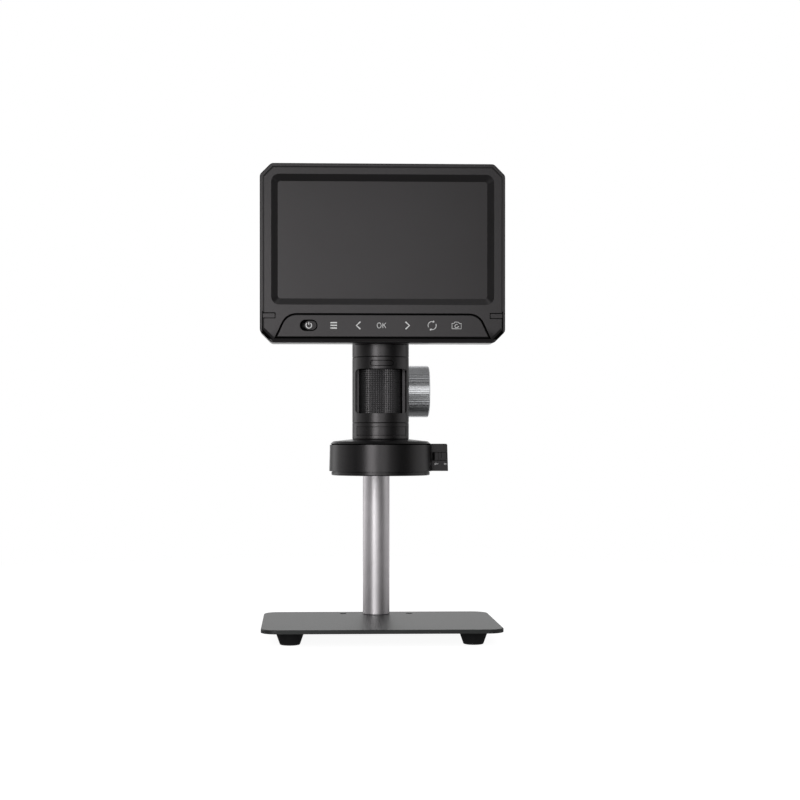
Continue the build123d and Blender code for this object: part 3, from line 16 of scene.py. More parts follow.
import bmesh
import bpy
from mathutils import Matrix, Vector

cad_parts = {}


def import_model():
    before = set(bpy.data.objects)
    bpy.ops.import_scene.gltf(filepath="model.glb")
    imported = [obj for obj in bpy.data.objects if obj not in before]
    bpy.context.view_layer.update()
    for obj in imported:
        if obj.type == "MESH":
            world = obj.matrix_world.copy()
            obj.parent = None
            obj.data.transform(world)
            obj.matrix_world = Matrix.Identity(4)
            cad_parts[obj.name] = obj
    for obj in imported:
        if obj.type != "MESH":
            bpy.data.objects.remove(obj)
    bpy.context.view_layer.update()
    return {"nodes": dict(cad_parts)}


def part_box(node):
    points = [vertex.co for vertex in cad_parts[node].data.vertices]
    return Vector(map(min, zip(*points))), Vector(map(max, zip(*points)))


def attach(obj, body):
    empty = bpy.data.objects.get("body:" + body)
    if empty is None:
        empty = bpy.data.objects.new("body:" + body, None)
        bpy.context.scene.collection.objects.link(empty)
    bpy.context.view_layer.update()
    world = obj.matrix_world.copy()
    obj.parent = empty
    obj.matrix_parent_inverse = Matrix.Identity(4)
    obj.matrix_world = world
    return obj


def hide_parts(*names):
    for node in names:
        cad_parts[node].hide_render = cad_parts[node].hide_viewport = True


MM = 0.001
LOG = logging.getLogger("microscope")

Colour = tuple[float, float, float]
Point = tuple[float, float, float]
Flat = tuple[float, float]
Corners = tuple[Sequence[float], Sequence[float]]

# Two places closer than this are the same.
TOUCH = 0.01 * MM
# Least part of a face's normal along an axis, for the face to look that way.
FACING = 0.9
# Range that most of a noise texture's values lie in.
NOISE_LOW, NOISE_HIGH = 0.3, 0.7
# Strips in the rounding of an edge, and of one that shows as round.
STRIPS, ROUND_STRIPS = 2, 3

WHITE = (1.0, 1.0, 1.0, 1.0)
WARM: Colour = (1.0, 0.955, 0.975)
SATIN_BLACK: Colour = (0.0035, 0.0034, 0.0036)
SWITCH_BLACK: Colour = (0.006, 0.006, 0.0062)


class Body(Enum):
    """Bodies of the frame that pieces ride on."""

    STAND = "stand"
    BLOCK = "focus_block"
    KNOB = "focus_knob"
    LOCK = "lock_screw"
    SCOPE = "scope"
    BUTTON = "snap_button"
    RING = "focus_ring"
    LIGHT_SWITCH = "light_switch"
    HEAD = "head"
    POWER = "power_slider"


class Slot(Enum):
    """Material slots of the record."""

    PLATE = "plate_grey"
    COLUMN = "column_steel"
    SMALL_STEEL = "steel_small"
    BLACK_STEEL = "steel_black"
    BRASS = "brass_parts"
    SLIDE = "slide_black"
    BLOCK = "block_black"
    FOOT = "foot_rubber"
    PAD = "pad_nylon"
    KNOB = "knob_silver"
    LOCK = "lock_black"
    TUBE = "tube_black"
    CAGE = "cage_black"
    FOCUS_RING = "focus_ring_black"
    TRIM = "trim_black"
    LIGHT = "light_black"
    SWITCH = "switch_black"
    DIFFUSER = "diffuser_white"
    LAMP = "lamp_yellow"
    BOARD = "board_green"
    CHIP = "chip_black"
    LENS = "lens_glass"
    HEAD = "head_black"
    PANEL = "panel_black"
    SCREEN = "screen_glass"
    DISPLAY = "lcd_metal"
    BATTERY = "battery_grey"


class Grain(Enum):
    """Direction that fine lines on a metal run in, as the stretch of the pattern's axes."""

    ALONG_X = (0.02, 1.0, 1.0)
    ALONG_Z = (1.0, 1.0, 0.02)
    NONE = (1.0, 1.0, 1.0)


class Part(Enum):
    """Kinds of mesh element: the name that operators use, and the mesh's list of them."""

    VERTS = ("VERT", "verts")
    EDGES = ("EDGE", "edges")
    FACES = ("FACE", "faces")


def shade(colour: Colour, factor: float) -> Colour:
    """Colour made lighter or darker by a factor, held below white."""
    red, green, blue = (min(1.0, channel * factor) for channel in colour)
    return red, green, blue


# ------------------------------------------------------------------ shader graphs
class Signal:
    """Socket of a shader graph. Arithmetic on a number adds its Math node."""

    def __init__(self, graph: Graph, socket: bpy.types.NodeSocket) -> None:
        """Wraps one output socket.

        Args:
            graph: Graph that the socket belongs to.
            socket: Output socket of one of its nodes.
        """
        self.graph = graph
        self.socket = socket

    def _math(self, operation: str, first: Signal | float, second: Signal | float) -> Signal:
        """Adds one Math node.

        Args:
            operation: Name of the Math node's operation.
            first: Its first value.
            second: Its second value.

        Returns:
            The node's result.
        """
        return self.graph.node("ShaderNodeMath", {"operation": operation}, {0: first, 1: second})

    def __add__(self, other: Signal | float) -> Signal:
        """Sum."""
        return self._math("ADD", self, other)

    def __radd__(self, other: float) -> Signal:
        """Sum with a number on the left."""
        return self._math("ADD", other, self)

    def __sub__(self, other: Signal | float) -> Signal:
        """Difference."""
        return self._math("SUBTRACT", self, other)

    def __rsub__(self, other: float) -> Signal:
        """Difference with a number on the left."""
        return self._math("SUBTRACT", other, self)

    def __mul__(self, other: Signal | float) -> Signal:
        """Product."""
        return self._math("MULTIPLY", self, other)

    def __rmul__(self, other: float) -> Signal:
        """Product with a number on the left."""
        return self._math("MULTIPLY", other, self)

    def __gt__(self, other: Signal | float) -> Signal:
        """1 where this is greater, else 0."""
        return self._math("GREATER_THAN", self, other)


class Graph:
    """Shader nodes of one material or of the world."""

    def __init__(self, tree: bpy.types.NodeTree) -> None:
        """Empties a node tree and takes it over.

        Args:
            tree: Node tree to fill.
        """
        self.tree = tree
        tree.nodes.clear()

    def node(self, kind: str, settings: dict[str, Any] | None = None,
             inputs: dict[str | int, Any] | None = None, output: str | int = 0) -> Signal:
        """Adds a node, sets it up and feeds it.

        Args:
            kind: Node type.
            settings: Properties, which are set first.
            inputs: Values or links, by socket name or number.
            output: Output socket that is returned.

        Returns:
            The chosen output socket. A node that ends a graph has none.
        """
        node = self.tree.nodes.new(kind)
        for name, value in (settings or {}).items():
            setattr(node, name, value)
        for name, value in (inputs or {}).items():
            if isinstance(value, Signal):
                self.tree.links.new(value.socket, node.inputs[name])
            else:
                node.inputs[name].default_value = value
        return Signal(self, node.outputs[output] if len(node.outputs) else None)

    def place(self, stretch: Point = (1.0, 1.0, 1.0), shift: Point = (0.0, 0.0, 0.0)) -> Signal:
        """Object coordinates, stretched and shifted.

        Args:
            stretch: Scale of each axis.
            shift: Point that becomes the origin.

        Returns:
            The coordinates as a vector.
        """
        raw = self.node("ShaderNodeTexCoord", output="Object")
        moved = self.node("ShaderNodeVectorMath", {"operation": "SUBTRACT"}, {0: raw, 1: shift})
        return self.node("ShaderNodeMapping", None, {"Vector": moved, "Scale": stretch})

    def noise(self, place: Signal, size: float, detail: float = 2.0,
              roughness: float = 0.5) -> Signal:
        """Noise from 0 to 1.

        Args:
            place: Coordinates in metres.
            size: Width of one speck.
            detail: Octaves of finer noise.
            roughness: Strength of the finer octaves.

        Returns:
            The noise value.
        """
        return self.node("ShaderNodeTexNoise", None, {
            "Vector": place, "Scale": 1 / size, "Detail": detail, "Roughness": roughness})

    def span(self, value: Signal, low: float, high: float, start: float = NOISE_LOW,
             end: float = NOISE_HIGH) -> Signal:
        """Maps a value's range to another one, held at its ends.

        Args:
            value: Value to map.
            low: Result at start.
            high: Result at end.
            start: Lower end of the value's range.
            end: Upper end of it.

        Returns:
            The mapped value.
        """
        return self.node("ShaderNodeMapRange", {"clamp": True},
                         {0: value, 1: start, 2: end, 3: low, 4: high})

    def blend(self, mask: Signal | float, first: Signal | Colour,
              second: Signal | Colour) -> Signal:
        """Mixes two colours.

        Args:
            mask: 0 for the first colour, 1 for the second.
            first: First colour.
            second: Second colour.

        Returns:
            The mixed colour.
        """
        first = first if isinstance(first, Signal) else (*first, 1.0)
        second = second if isinstance(second, Signal) else (*second, 1.0)
        return self.node("ShaderNodeMix", {"data_type": "RGBA"}, {0: mask, 6: first, 7: second}, 2)

    def tones(self, mask: Signal, colour: Colour, first: float, second: float) -> Signal:
        """Two tones of one colour, mixed by a mask."""
        return self.blend(mask, shade(colour, first), shade(colour, second))

    def bump(self, height: Signal, depth: float, before: Signal | None = None) -> Signal:
        """Normal bent by a height.

        Args:
            height: Height from 0 to 1.
            depth: Real height of 1, in metres.
            before: Normal that is bent further.

        Returns:
            The bent normal.
        """
        inputs: dict[str | int, Any] = {"Height": height, "Distance": depth, "Strength": 1.0}
        if before is not None:
            inputs["Normal"] = before
        return self.node("ShaderNodeBump", None, inputs)

    def inside(self, corners: Corners) -> Signal:
        """Mask of the surfaces in a box.

        Args:
            corners: Its lower and its upper corner.

        Returns:
            1 in the box, else 0.
        """
        place = self.place()
        mask: Signal | float = 1.0
        for axis, low, high in zip("XYZ", *corners):
            along = self.node("ShaderNodeSeparateXYZ", None, {0: place}, axis)
            mask = mask * (along > low) * (high - along > 0.0)
        return mask

    def surface(self, inputs: dict[str | int, Any], deep: Signal | None = None) -> None:
        """Ends the graph in a Principled shader.

        Args:
            inputs: Values or links of its sockets.
            deep: Mask of the surfaces deep in grooves, which get painted shade in matt near-black.
        """
        shader = self.node("ShaderNodeBsdfPrincipled", None, inputs)
        if deep is not None:
            # Painted shade: near-black matt diffuse where the deep mask is 1, standing in for the
            # shade in grooves and gaps.
            dust_and_shade = self.node("ShaderNodeBsdfDiffuse", None, {"Color": (0.003, 0.003, 0.003, 1.0)})
            shader = self.node("ShaderNodeMixShader", None, {0: deep, 1: shader, 2: dust_and_shade})
        self.node("ShaderNodeOutputMaterial", None, {"Surface": shader})


def new_material(name: str) -> tuple[bpy.types.Material, Graph]:
    """Makes an empty material.

    Args:
        name: Material's name.

    Returns:
        The material and its graph.
    """
    made = bpy.data.materials.new(name)
    made.use_nodes = True
    return made, Graph(made.node_tree)


# ------------------------------------------------------------------ finishes
@dataclass(frozen=True)
class Finish:
    """Surface of one kind of material."""

    colour: Colour
    roughness: float

    def fill(self, graph: Graph) -> None:
        """Adds this finish's nodes to a graph.

        Args:
            graph: Empty graph of a material.
        """
        raise NotImplementedError

    def rough(self, graph: Graph, noise: Signal, below: float, above: float,
              start: float = NOISE_LOW, end: float = NOISE_HIGH) -> Signal:
        """Roughness that a noise varies.

        Args:
            graph: Graph of the material.
            noise: Noise that varies it.
            below: How far it falls at the noise's lower end.
            above: How far it rises at its upper end.
            start: Lower end of the noise.
            end: Upper end of it.

        Returns:
            The roughness.
        """
        return graph.span(noise, self.roughness - below, self.roughness + above, start, end)

    def material(self, name: str) -> bpy.types.Material:
        """Makes the material.

        Args:
            name: Material's name.

        Returns:
            The finished material.
        """
        made, graph = new_material(name)
        self.fill(graph)
        return made


@dataclass(frozen=True)
class Moulded(Finish):
    """Moulded plastic with a spark-eroded grain and faint flow marks.

    Surfaces in the grooves box are deep in a gap and get painted shade. With a bare box, all those
    outside it do.
    """

    grain: float = 0.28 * MM
    depth: float = 0.012 * MM
    sheen: float = 0.5
    grooves: Corners | None = None
    bare: Corners | None = None
    flow_mark: float = 22 * MM

    def fill(self, graph: Graph) -> None:
        """Adds the plastic's nodes.

        Args:
            graph: Empty graph of a material.
        """
        place = graph.place()
        flow = graph.noise(place, self.flow_mark, detail=3.0)
        specks = graph.noise(place, self.grain, roughness=0.6)
        # painted shade mask: surfaces in the grooves box, or outside the bare box, turn near-black
        deep = graph.inside(self.grooves) if self.grooves else None
        if self.bare:
            deep = 1 - graph.inside(self.bare)
        graph.surface({
            "Base Color": graph.tones(graph.span(flow, 0.0, 1.0), self.colour, 0.88, 1.12),
            "Roughness": self.rough(graph, specks, 0.05, 0.05) + (flow - 0.5) * 0.05,
            "Specular IOR Level": self.sheen,
            "Specular Tint": (*WARM, 1.0),
            "Normal": graph.bump(specks, self.depth),
        }, deep)


@dataclass(frozen=True)
class Coated(Finish):
    """Paint or powder coat on metal, with a soft orange peel and fine dust in it."""

    peel: float = 1.1 * MM
    depth: float = 0.006 * MM
    sheen: float = 0.5
    tint: Colour = WARM
    cloud: float = 30 * MM
    dust_and_shade: float = 0.22 * MM

    def fill(self, graph: Graph) -> None:
        """Adds the coat's nodes.

        Args:
            graph: Empty graph of a material.
        """
        place = graph.place()
        clouds = graph.noise(place, self.cloud)
        skin = graph.noise(place, self.peel, detail=1.0)
        dust_and_shade = graph.noise(place, self.dust_and_shade, detail=1.0)
        tone = graph.span(clouds, 0.0, 0.8) + graph.span(dust_and_shade, 0.0, 0.2, 0.55)
        graph.surface({
            "Base Color": graph.tones(tone, self.colour, 0.9, 1.14),
            "Roughness": self.rough(graph, dust_and_shade, 0.03, 0.04),
            "Specular IOR Level": self.sheen,
            "Specular Tint": (*self.tint, 1.0),
            "Normal": graph.bump(dust_and_shade, self.depth * 0.5, graph.bump(skin, self.depth)),
        })


@dataclass(frozen=True)
class Machined(Finish):
    """Bare metal with fine tool lines."""

    grain: Grain = Grain.NONE
    line: float = 0.12 * MM
    depth: float = 0.002 * MM
    stain: float = 14 * MM

    def fill(self, graph: Graph) -> None:
        """Adds the metal's nodes.

        Args:
            graph: Empty graph of a material.
        """
        lines = graph.noise(graph.place(self.grain.value), self.line, 3.0, 0.65)
        stains = graph.noise(graph.place(), self.stain, detail=3.0)
        tone = graph.span(lines, 0.0, 0.7) + graph.span(stains, 0.0, 0.3, 0.35, 0.65)
        graph.surface({
            "Base Color": graph.tones(tone, self.colour, 0.86, 1.1),
            "Metallic": 1.0,
            "Roughness": self.rough(graph, lines, 0.05, 0.06) + (stains - 0.5) * 0.06,
            "Normal": graph.bump(lines, self.depth),
        })


@dataclass(frozen=True)
class Rubber(Finish):
    """Soft rubber with a matt, slightly dusty skin."""

    pore: float = 0.5 * MM
    depth: float = 0.03 * MM
    dust_and_shade: float = 6 * MM

    def fill(self, graph: Graph) -> None:
        """Adds the rubber's nodes.

        Args:
            graph: Empty graph of a material.
        """
        place = graph.place()
        pores = graph.noise(place, self.pore, 4.0, 0.7)
        dust_and_shade = graph.noise(place, self.dust_and_shade, 4.0, 0.6)
        tone = graph.span(dust_and_shade, 0.0, 1.0, 0.45, 0.75)
        graph.surface({
            "Base Color": graph.tones(tone, self.colour, 1.0, 1.9),
            "Roughness": self.rough(graph, dust_and_shade, 0.08, 0.06, 0.4),
            "Specular IOR Level": 0.3,
            "Normal": graph.bump(pores, self.depth),
        })


@dataclass(frozen=True)
class MattGlass(Finish):
    """Dark display glass with an etched anti-glare face."""

    etch: float = 0.16 * MM
    depth: float = 0.002 * MM
    smear: float = 60 * MM

    def fill(self, graph: Graph) -> None:
        """Adds the glass's nodes.

        Args:
            graph: Empty graph of a material.
        """
        etch = graph.noise(graph.place(), self.etch, detail=1.0)
        smear = graph.noise(graph.place((1.0, 1.0, 1.6)), self.smear)
        graph.surface({
            "Base Color": graph.tones(graph.span(smear, 0.0, 1.0), self.colour, 1.0, 1.15),
            "Roughness": self.rough(graph, smear, 0.0, 0.03, 0.35, 0.65),
            "Specular IOR Level": 0.6,
            "Specular Tint": (*WARM, 1.0),
            "Normal": graph.bump(etch, self.depth),
        })


@dataclass(frozen=True)
class ClearGlass(Finish):
    """Lens glass with a thin coating that tints its reflection."""

    haze: float = 3 * MM
    coating: Colour = (0.55, 0.5, 0.9)

    def fill(self, graph: Graph) -> None:
        """Adds the glass's nodes.

        Args:
            graph: Empty graph of a material.
        """
        haze = graph.noise(graph.place(), self.haze, detail=3.0)
        graph.surface({
            "Base Color": graph.tones(graph.span(haze, 0.0, 1.0), self.colour, 1.0, 0.94),
            "Roughness": self.rough(graph, haze, 0.0, 0.02, 0.4, 0.8),
            "Transmission Weight": 1.0,
            "IOR": 1.52,
            "Coat Weight": 0.4,
            "Coat Roughness": 0.02,
            "Coat Tint": (*self.coating, 1.0),
        })


@dataclass(frozen=True)
class MilkyPlastic(Finish):
    """Milky diffuser with a faint warm spot over each lamp behind it."""

    centre: Point
    spot_circle: float
    spot_count: int = 12
    spot_reach: float = 4 * MM
    spot_colour: Colour = (0.93, 0.86, 0.62)
    grain: float = 0.4 * MM
    depth: float = 0.008 * MM

    def fill(self, graph: Graph) -> None:
        """Adds the diffuser's nodes.

        Args:
            graph: Empty graph of a material.
        """
        place = graph.place(shift=self.centre)
        x, y = (graph.node("ShaderNodeSeparateXYZ", None, {0: place}, axis) for axis in "XY")
        angle = graph.node("ShaderNodeMath", {"operation": "ARCTAN2"}, {0: y, 1: x})
        wave = graph.node("ShaderNodeMath", {"operation": "COSINE"},
                          {0: angle * self.spot_count + math.pi})
        reach = graph.node("ShaderNodeMath", {"operation": "SQRT"}, {0: x * x + y * y})
        off = graph.node("ShaderNodeMath", {"operation": "ABSOLUTE"},
                         {0: reach - self.spot_circle})
        spot = (graph.span(wave, 0.0, 1.0, 0.2, 1.0)
                * graph.span(off, 1.0, 0.0, 0.0, self.spot_reach))
        grain = graph.noise(graph.place(), self.grain)
        graph.surface({
            "Base Color": graph.blend(spot, self.colour, self.spot_colour),
            "Roughness": self.rough(graph, grain, 0.05, 0.05),
            "Normal": graph.bump(grain, self.depth),
        })


@dataclass(frozen=True)
class Board(Finish):
    """Printed board with tracks under its solder mask and tinned pads."""

    cell: float = 3.2 * MM
    tin: Colour = (0.74, 0.73, 0.7)
    track_height: float = 0.02 * MM

    def fill(self, graph: Graph) -> None:
        """Adds the board's nodes.

        Args:
            graph: Empty graph of a material.
        """
        cells = graph.node(
            "ShaderNodeTexVoronoi", {"distance": "CHEBYCHEV"},
            {"Vector": graph.place(), "Scale": 1 / self.cell, "Randomness": 0.85}, "Distance")
        waves = graph.node("ShaderNodeMath", {"operation": "PINGPONG"}, {0: cells, 1: 0.12})
        tracks = graph.span(waves, 1.0, 0.0, 0.03, 0.06)
        pads = graph.span(cells, 1.0, 0.0, 0.05, 0.07)
        mask = graph.tones(tracks, self.colour, 0.75, 1.3)
        graph.surface({
            "Base Color": graph.blend(pads, mask, self.tin),
            "Metallic": pads,
            "Roughness": self.rough(graph, tracks, 0.0, 0.1, 0.0, 1.0),
            "Normal": graph.bump(tracks, self.track_height),
        })


@dataclass(frozen=True)
class Wrapped(Finish):
    """Foil round a battery pack, with soft creases."""

    crease: float = 7 * MM
    depth: float = 0.15 * MM

    def fill(self, graph: Graph) -> None:
        """Adds the foil's nodes.

        Args:
            graph: Empty graph of a material.
        """
        creases = graph.noise(graph.place((1.0, 1.0, 0.5)), self.crease, 4.0, 0.6)
        graph.surface({
            "Base Color": graph.tones(creases, self.colour, 0.85, 1.1),
            "Metallic": 0.6,
            "Roughness": self.rough(graph, creases, 0.08, 0.1),
            "Normal": graph.bump(creases, self.depth),
        })


@dataclass(frozen=True)
class Ink(Finish):
    """Printed ink, slightly uneven."""

    speck: float = 0.35 * MM
    depth: float = 0.004 * MM

    def fill(self, graph: Graph) -> None:
        """Adds the ink's nodes.

        Args:
            graph: Empty graph of a material.
        """
        cover = graph.noise(graph.place(), self.speck)
        graph.surface({
            "Base Color": graph.tones(graph.span(cover, 0.0, 1.0), self.colour, 0.9, 1.0),
            "Roughness": self.rough(graph, cover, 0.05, 0.08),
            "Normal": graph.bump(cover, self.depth),
        })


@dataclass(frozen=True)
class PaintedShadeBoxes:
    """Boxes that tell the surfaces deep in narrow gaps from the others.

    The top and floor of a gap and the start of the panel's wall lie behind the panel's face. The
    surfaces in these boxes, or outside the window box, get painted shade.
    """

    head_side: float = 1.7 * MM
    head_bottom: float = 2.6 * MM
    above_panel: float = 2.5 * MM
    gap_top: float = 1.2 * MM
    gap_floor: float = 2.6 * MM
    panel_wall: float = 0.9 * MM
    cover_gap: float = 0.9 * MM
    cover_seat: float = 0.02 * MM
    pillar_strip: float = 0.75 * MM
    slack: float = MM

    def bezel(self) -> Corners:
        """Lower part of the bezel's gaps round the key panel and the inlays.

        Returns:
            The box's corners.
        """
        panel_low, panel_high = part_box("button_panel")
        low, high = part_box("front_bezel")
        face_y = panel_low.y
        return ((low.x + self.head_side, face_y + self.gap_top, low.z + self.head_bottom),
                (high.x - self.head_side, face_y + self.gap_floor, panel_high.z + self.above_panel))

    def panel(self) -> Corners:
        """Foot of the key panel's own walls."""
        low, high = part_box("button_panel")
        return (low.x, low.y + self.panel_wall, low.z), high

    def cover(self) -> Corners:
        """Groove between the ring light's wall and its cover."""
        low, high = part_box("ring_housing")
        return (low.x, low.y, high.z - self.cover_seat), (high.x, high.y, high.z + self.cover_gap)

    def window(self) -> Corners:
        """Cage's part of the window, without the outer strip of each pillar.

        Returns:
            The box's corners.
        """
        # the outer strip of each pillar lies outside this box and gets painted shade
        low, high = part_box("ring_cage")
        strip = Vector((self.pillar_strip, -self.slack, -self.slack))
        return low + strip, high - strip


class Palette:
    """All finishes of the microscope: one for each slot, the ink, and three for single pieces."""

    def __init__(self) -> None:
        """Makes the materials."""
        # painted shade boxes: the cage, ring light, head and key panel finishes turn near-black in
        # or outside them
        deep = PaintedShadeBoxes()
        finishes: dict[Slot, Finish] = {
            Slot.PLATE: Coated((0.02, 0.0215, 0.0208), 0.4, peel=0.8 * MM, depth=0.003 * MM,
                               tint=(0.98, 1.0, 1.0)),
            Slot.COLUMN: Machined((0.76, 0.73, 0.75), 0.43, Grain.ALONG_Z, depth=0.0008 * MM),
            Slot.SMALL_STEEL: Machined((0.55, 0.55, 0.57), 0.3),
            Slot.BLACK_STEEL: Coated((0.03, 0.03, 0.032), 0.35, peel=0.3 * MM),
            Slot.BRASS: Machined((0.71, 0.55, 0.29), 0.28),
            Slot.SLIDE: Machined((0.07, 0.07, 0.075), 0.35, Grain.ALONG_Z),
            Slot.BLOCK: Coated((0.02, 0.02, 0.022), 0.45, peel=0.7 * MM, depth=0.014 * MM),
            Slot.FOOT: Rubber((0.008, 0.008, 0.0085), 0.75),
            Slot.PAD: Moulded((0.8, 0.8, 0.76), 0.5),
            Slot.KNOB: Machined((0.74, 0.75, 0.77), 0.28, Grain.ALONG_X, depth=0.0005 * MM),
            Slot.LOCK: Moulded((0.018, 0.018, 0.019), 0.45),
            Slot.TUBE: Coated(SATIN_BLACK, 0.33, peel=0.9 * MM, depth=0.003 * MM, sheen=0.68),
            Slot.CAGE: Moulded((0.03, 0.03, 0.031), 0.38, depth=0.004 * MM, sheen=0.65,
                               bare=deep.window()),
            Slot.FOCUS_RING: Moulded((0.018, 0.018, 0.019), 0.32, grain=0.2 * MM,
                                     depth=0.003 * MM, sheen=0.75),
            Slot.TRIM: Moulded(SATIN_BLACK, 0.32, grain=0.2 * MM, depth=0.003 * MM, sheen=0.64),
            Slot.LIGHT: Moulded(SATIN_BLACK, 0.31, depth=0.004 * MM, sheen=0.56,
                                grooves=deep.cover()),
            Slot.SWITCH: Moulded(SWITCH_BLACK, 0.42, depth=0.006 * MM),
            Slot.DIFFUSER: self.diffuser(),
            Slot.LAMP: Ink((0.93, 0.85, 0.45), 0.25),
            Slot.BOARD: Board((0.03, 0.2, 0.08), 0.35),
            Slot.CHIP: Moulded((0.03, 0.03, 0.032), 0.5, grain=0.1 * MM),
            Slot.LENS: ClearGlass((0.95, 0.97, 1.0), 0.02),
            Slot.HEAD: Moulded(SATIN_BLACK, 0.32, depth=0.007 * MM, sheen=0.64,
                               grooves=deep.bezel()),
            Slot.PANEL: Moulded(SATIN_BLACK, 0.31, grain=0.18 * MM, depth=0.004 * MM, sheen=0.6,
                                grooves=deep.panel()),
            Slot.SCREEN: MattGlass((0.004, 0.0039, 0.0041), 0.34),
            Slot.DISPLAY: Machined((0.5, 0.5, 0.52), 0.35, Grain.ALONG_X),
            Slot.BATTERY: Wrapped((0.55, 0.57, 0.6), 0.35),
        }
        self.materials = {slot: finish.material(f"finish_{slot.value}")
                          for slot, finish in finishes.items()}
        self.ink = Ink((0.86, 0.86, 0.86), 0.5).material("finish_ink")
        self.matt_box = finishes[Slot.SWITCH].material("finish_matt_box")
        # Painted shade: a near-black rough finish for the light switch's body, deep in its recess.
        self.recess = Moulded((0.003, 0.003, 0.003), 0.7, sheen=0.1).material("finish_recess")
        # Painted shade: the touch board seen through the power slot is made near-black, in place of
        # its green.
        self.dark_board = Board((0.004, 0.004, 0.004), 0.6).material("finish_dark_board")

    @staticmethod
    def diffuser() -> MilkyPlastic:
        """Milky plastic with a spot under each lamp.

        Returns:
            The diffuser's finish.
        """
        low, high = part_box("light_diffuser")
        lamp_low, lamp_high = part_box("leds")
        lamp_half = 2 * MM
        centre = (low + high) / 2
        return MilkyPlastic((0.9, 0.9, 0.87), 0.45, centre=(centre.x, centre.y, low.z),
                            spot_circle=(lamp_high.x - lamp_low.x) / 2 - lamp_half)


# ------------------------------------------------------------------ modelling
def take_up(piece: bpy.types.Object) -> None:
    """Puts a new object in the scene, as the active and the only selected one.

    Args:
        piece: Object to take up.
    """
    bpy.context.scene.collection.objects.link(piece)
    bpy.ops.object.select_all(action="DESELECT")
    bpy.context.view_layer.objects.active = piece
    piece.select_set(True)


class Bench:
    """Mesh under work. Its object sits at the origin and stays in edit mode until done."""

    def __init__(self, name: str) -> None:
        """Takes over the active object and opens it for editing.

        Args:
            name: Name of the piece.
        """
        self.obj = bpy.context.active_object
        self.obj.name = self.obj.data.name = name
        bpy.ops.object.transform_apply(location=True, rotation=True, scale=True)
        bpy.ops.object.mode_set(mode="EDIT")

    @classmethod
    def cylinder(cls, name: str, radius: float, ends: Flat, centre: Flat, sides: int,
                 lying: bool = False, capped: bool = True) -> Bench:
        """Cylinder that is the start of a piece.

        Args:
            name: Name of the piece.
            radius: Radius of its vertices.
            ends: Lower and upper end along its axis.
            centre: Place of its axis: x and y, or y and z when it lies along X.
            sides: Number of sides.
            lying: Whether its axis runs along X and not along Z.
            capped: Whether its ends are closed.

        Returns:
            The bench with the cylinder on it.
        """
        middle = (ends[0] + ends[1]) / 2
        bpy.ops.object.select_all(action="DESELECT")
        bpy.ops.mesh.primitive_cylinder_add(
            vertices=sides, radius=radius, depth=ends[1] - ends[0],
            location=(middle, *centre) if lying else (*centre, middle),
            rotation=(0, math.pi / 2, 0) if lying else (0, 0, 0),
            end_fill_type="NGON" if capped else "NOTHING")
        return cls(name)

    @classmethod
    def copy(cls, name: str, node: bpy.types.Object) -> Bench:
        """Merged copy of a node of the frame, with its flat faces made whole.

        Args:
            name: Name of the piece.
            node: Object of the node.

        Returns:
            The bench with the copy on it.
        """
        flat_angle = math.radians(0.3)
        mesh = node.data.copy()
        if mesh.has_custom_normals:
            mesh.attributes.remove(mesh.attributes["custom_normal"])
        take_up(bpy.data.objects.new(name, mesh))
        bench = cls(name)
        bpy.ops.mesh.select_all(action="SELECT")
        bpy.ops.mesh.remove_doubles(threshold=0.1 * TOUCH)
        bpy.ops.mesh.dissolve_limited(angle_limit=flat_angle)
        return bench

    def pick(self, part: Part, test: Callable[[Any], bool]) -> None:
        """Selects the elements that pass a test, and nothing else.

        Args:
            part: Kind of element.
            test: Test on one vertex, edge or face.
        """
        kind, where = part.value
        bpy.ops.mesh.select_mode(type=kind)
        bpy.ops.mesh.select_all(action="DESELECT")
        mesh = bmesh.from_edit_mesh(self.obj.data)
        for element in [element for element in getattr(mesh, where) if test(element)]:
            element.select_set(True)
        mesh.select_flush_mode()
        bmesh.update_edit_mesh(self.obj.data)

    @staticmethod
    def push(offset: Point) -> None:
        """Extrudes what is selected."""
        bpy.ops.mesh.extrude_region_move(TRANSFORM_OT_translate={"value": offset})

    @staticmethod
    def scale(factors: Point, about: Point) -> None:
        """Scales what is selected about a point."""
        bpy.ops.transform.resize(value=factors, center_override=about)

    @staticmethod
    def inset(width: float, depth: float = 0.0, each: bool = False) -> None:
        """Insets the selected faces, together or each on its own."""
        bpy.ops.mesh.inset(thickness=width, depth=depth, use_individual=each)

    def finish(self, soft_angle: float = 40.0) -> bpy.types.Object:
        """Leaves edit mode with outward normals and smooth curved faces.

        Args:
            soft_angle: Edges flatter than this are shaded smooth, in degrees.

        Returns:
            The finished object.
        """
        bpy.ops.mesh.select_all(action="SELECT")
        bpy.ops.mesh.normals_make_consistent(inside=False)
        bpy.ops.object.mode_set(mode="OBJECT")
        bpy.ops.object.shade_smooth_by_angle(angle=math.radians(soft_angle))
        return self.obj


def soften(piece: bpy.types.Object, width: float, segments: int) -> None:
    """Rounds the sharp edges of a piece.

    Args:
        piece: Object to round.
        width: Width of the rounding.
        segments: Strips in it.
    """
    sharp_angle = math.radians(28.0)
    rounding = piece.modifiers.new("rounding", "BEVEL")
    rounding.width = width
    rounding.segments = segments
    rounding.limit_method = "ANGLE"
    rounding.angle_limit = sharp_angle
    rounding.harden_normals = True
    rounding.miter_outer = "MITER_ARC"
    bpy.context.view_layer.objects.active = piece
    bpy.ops.object.modifier_apply(modifier=rounding.name)


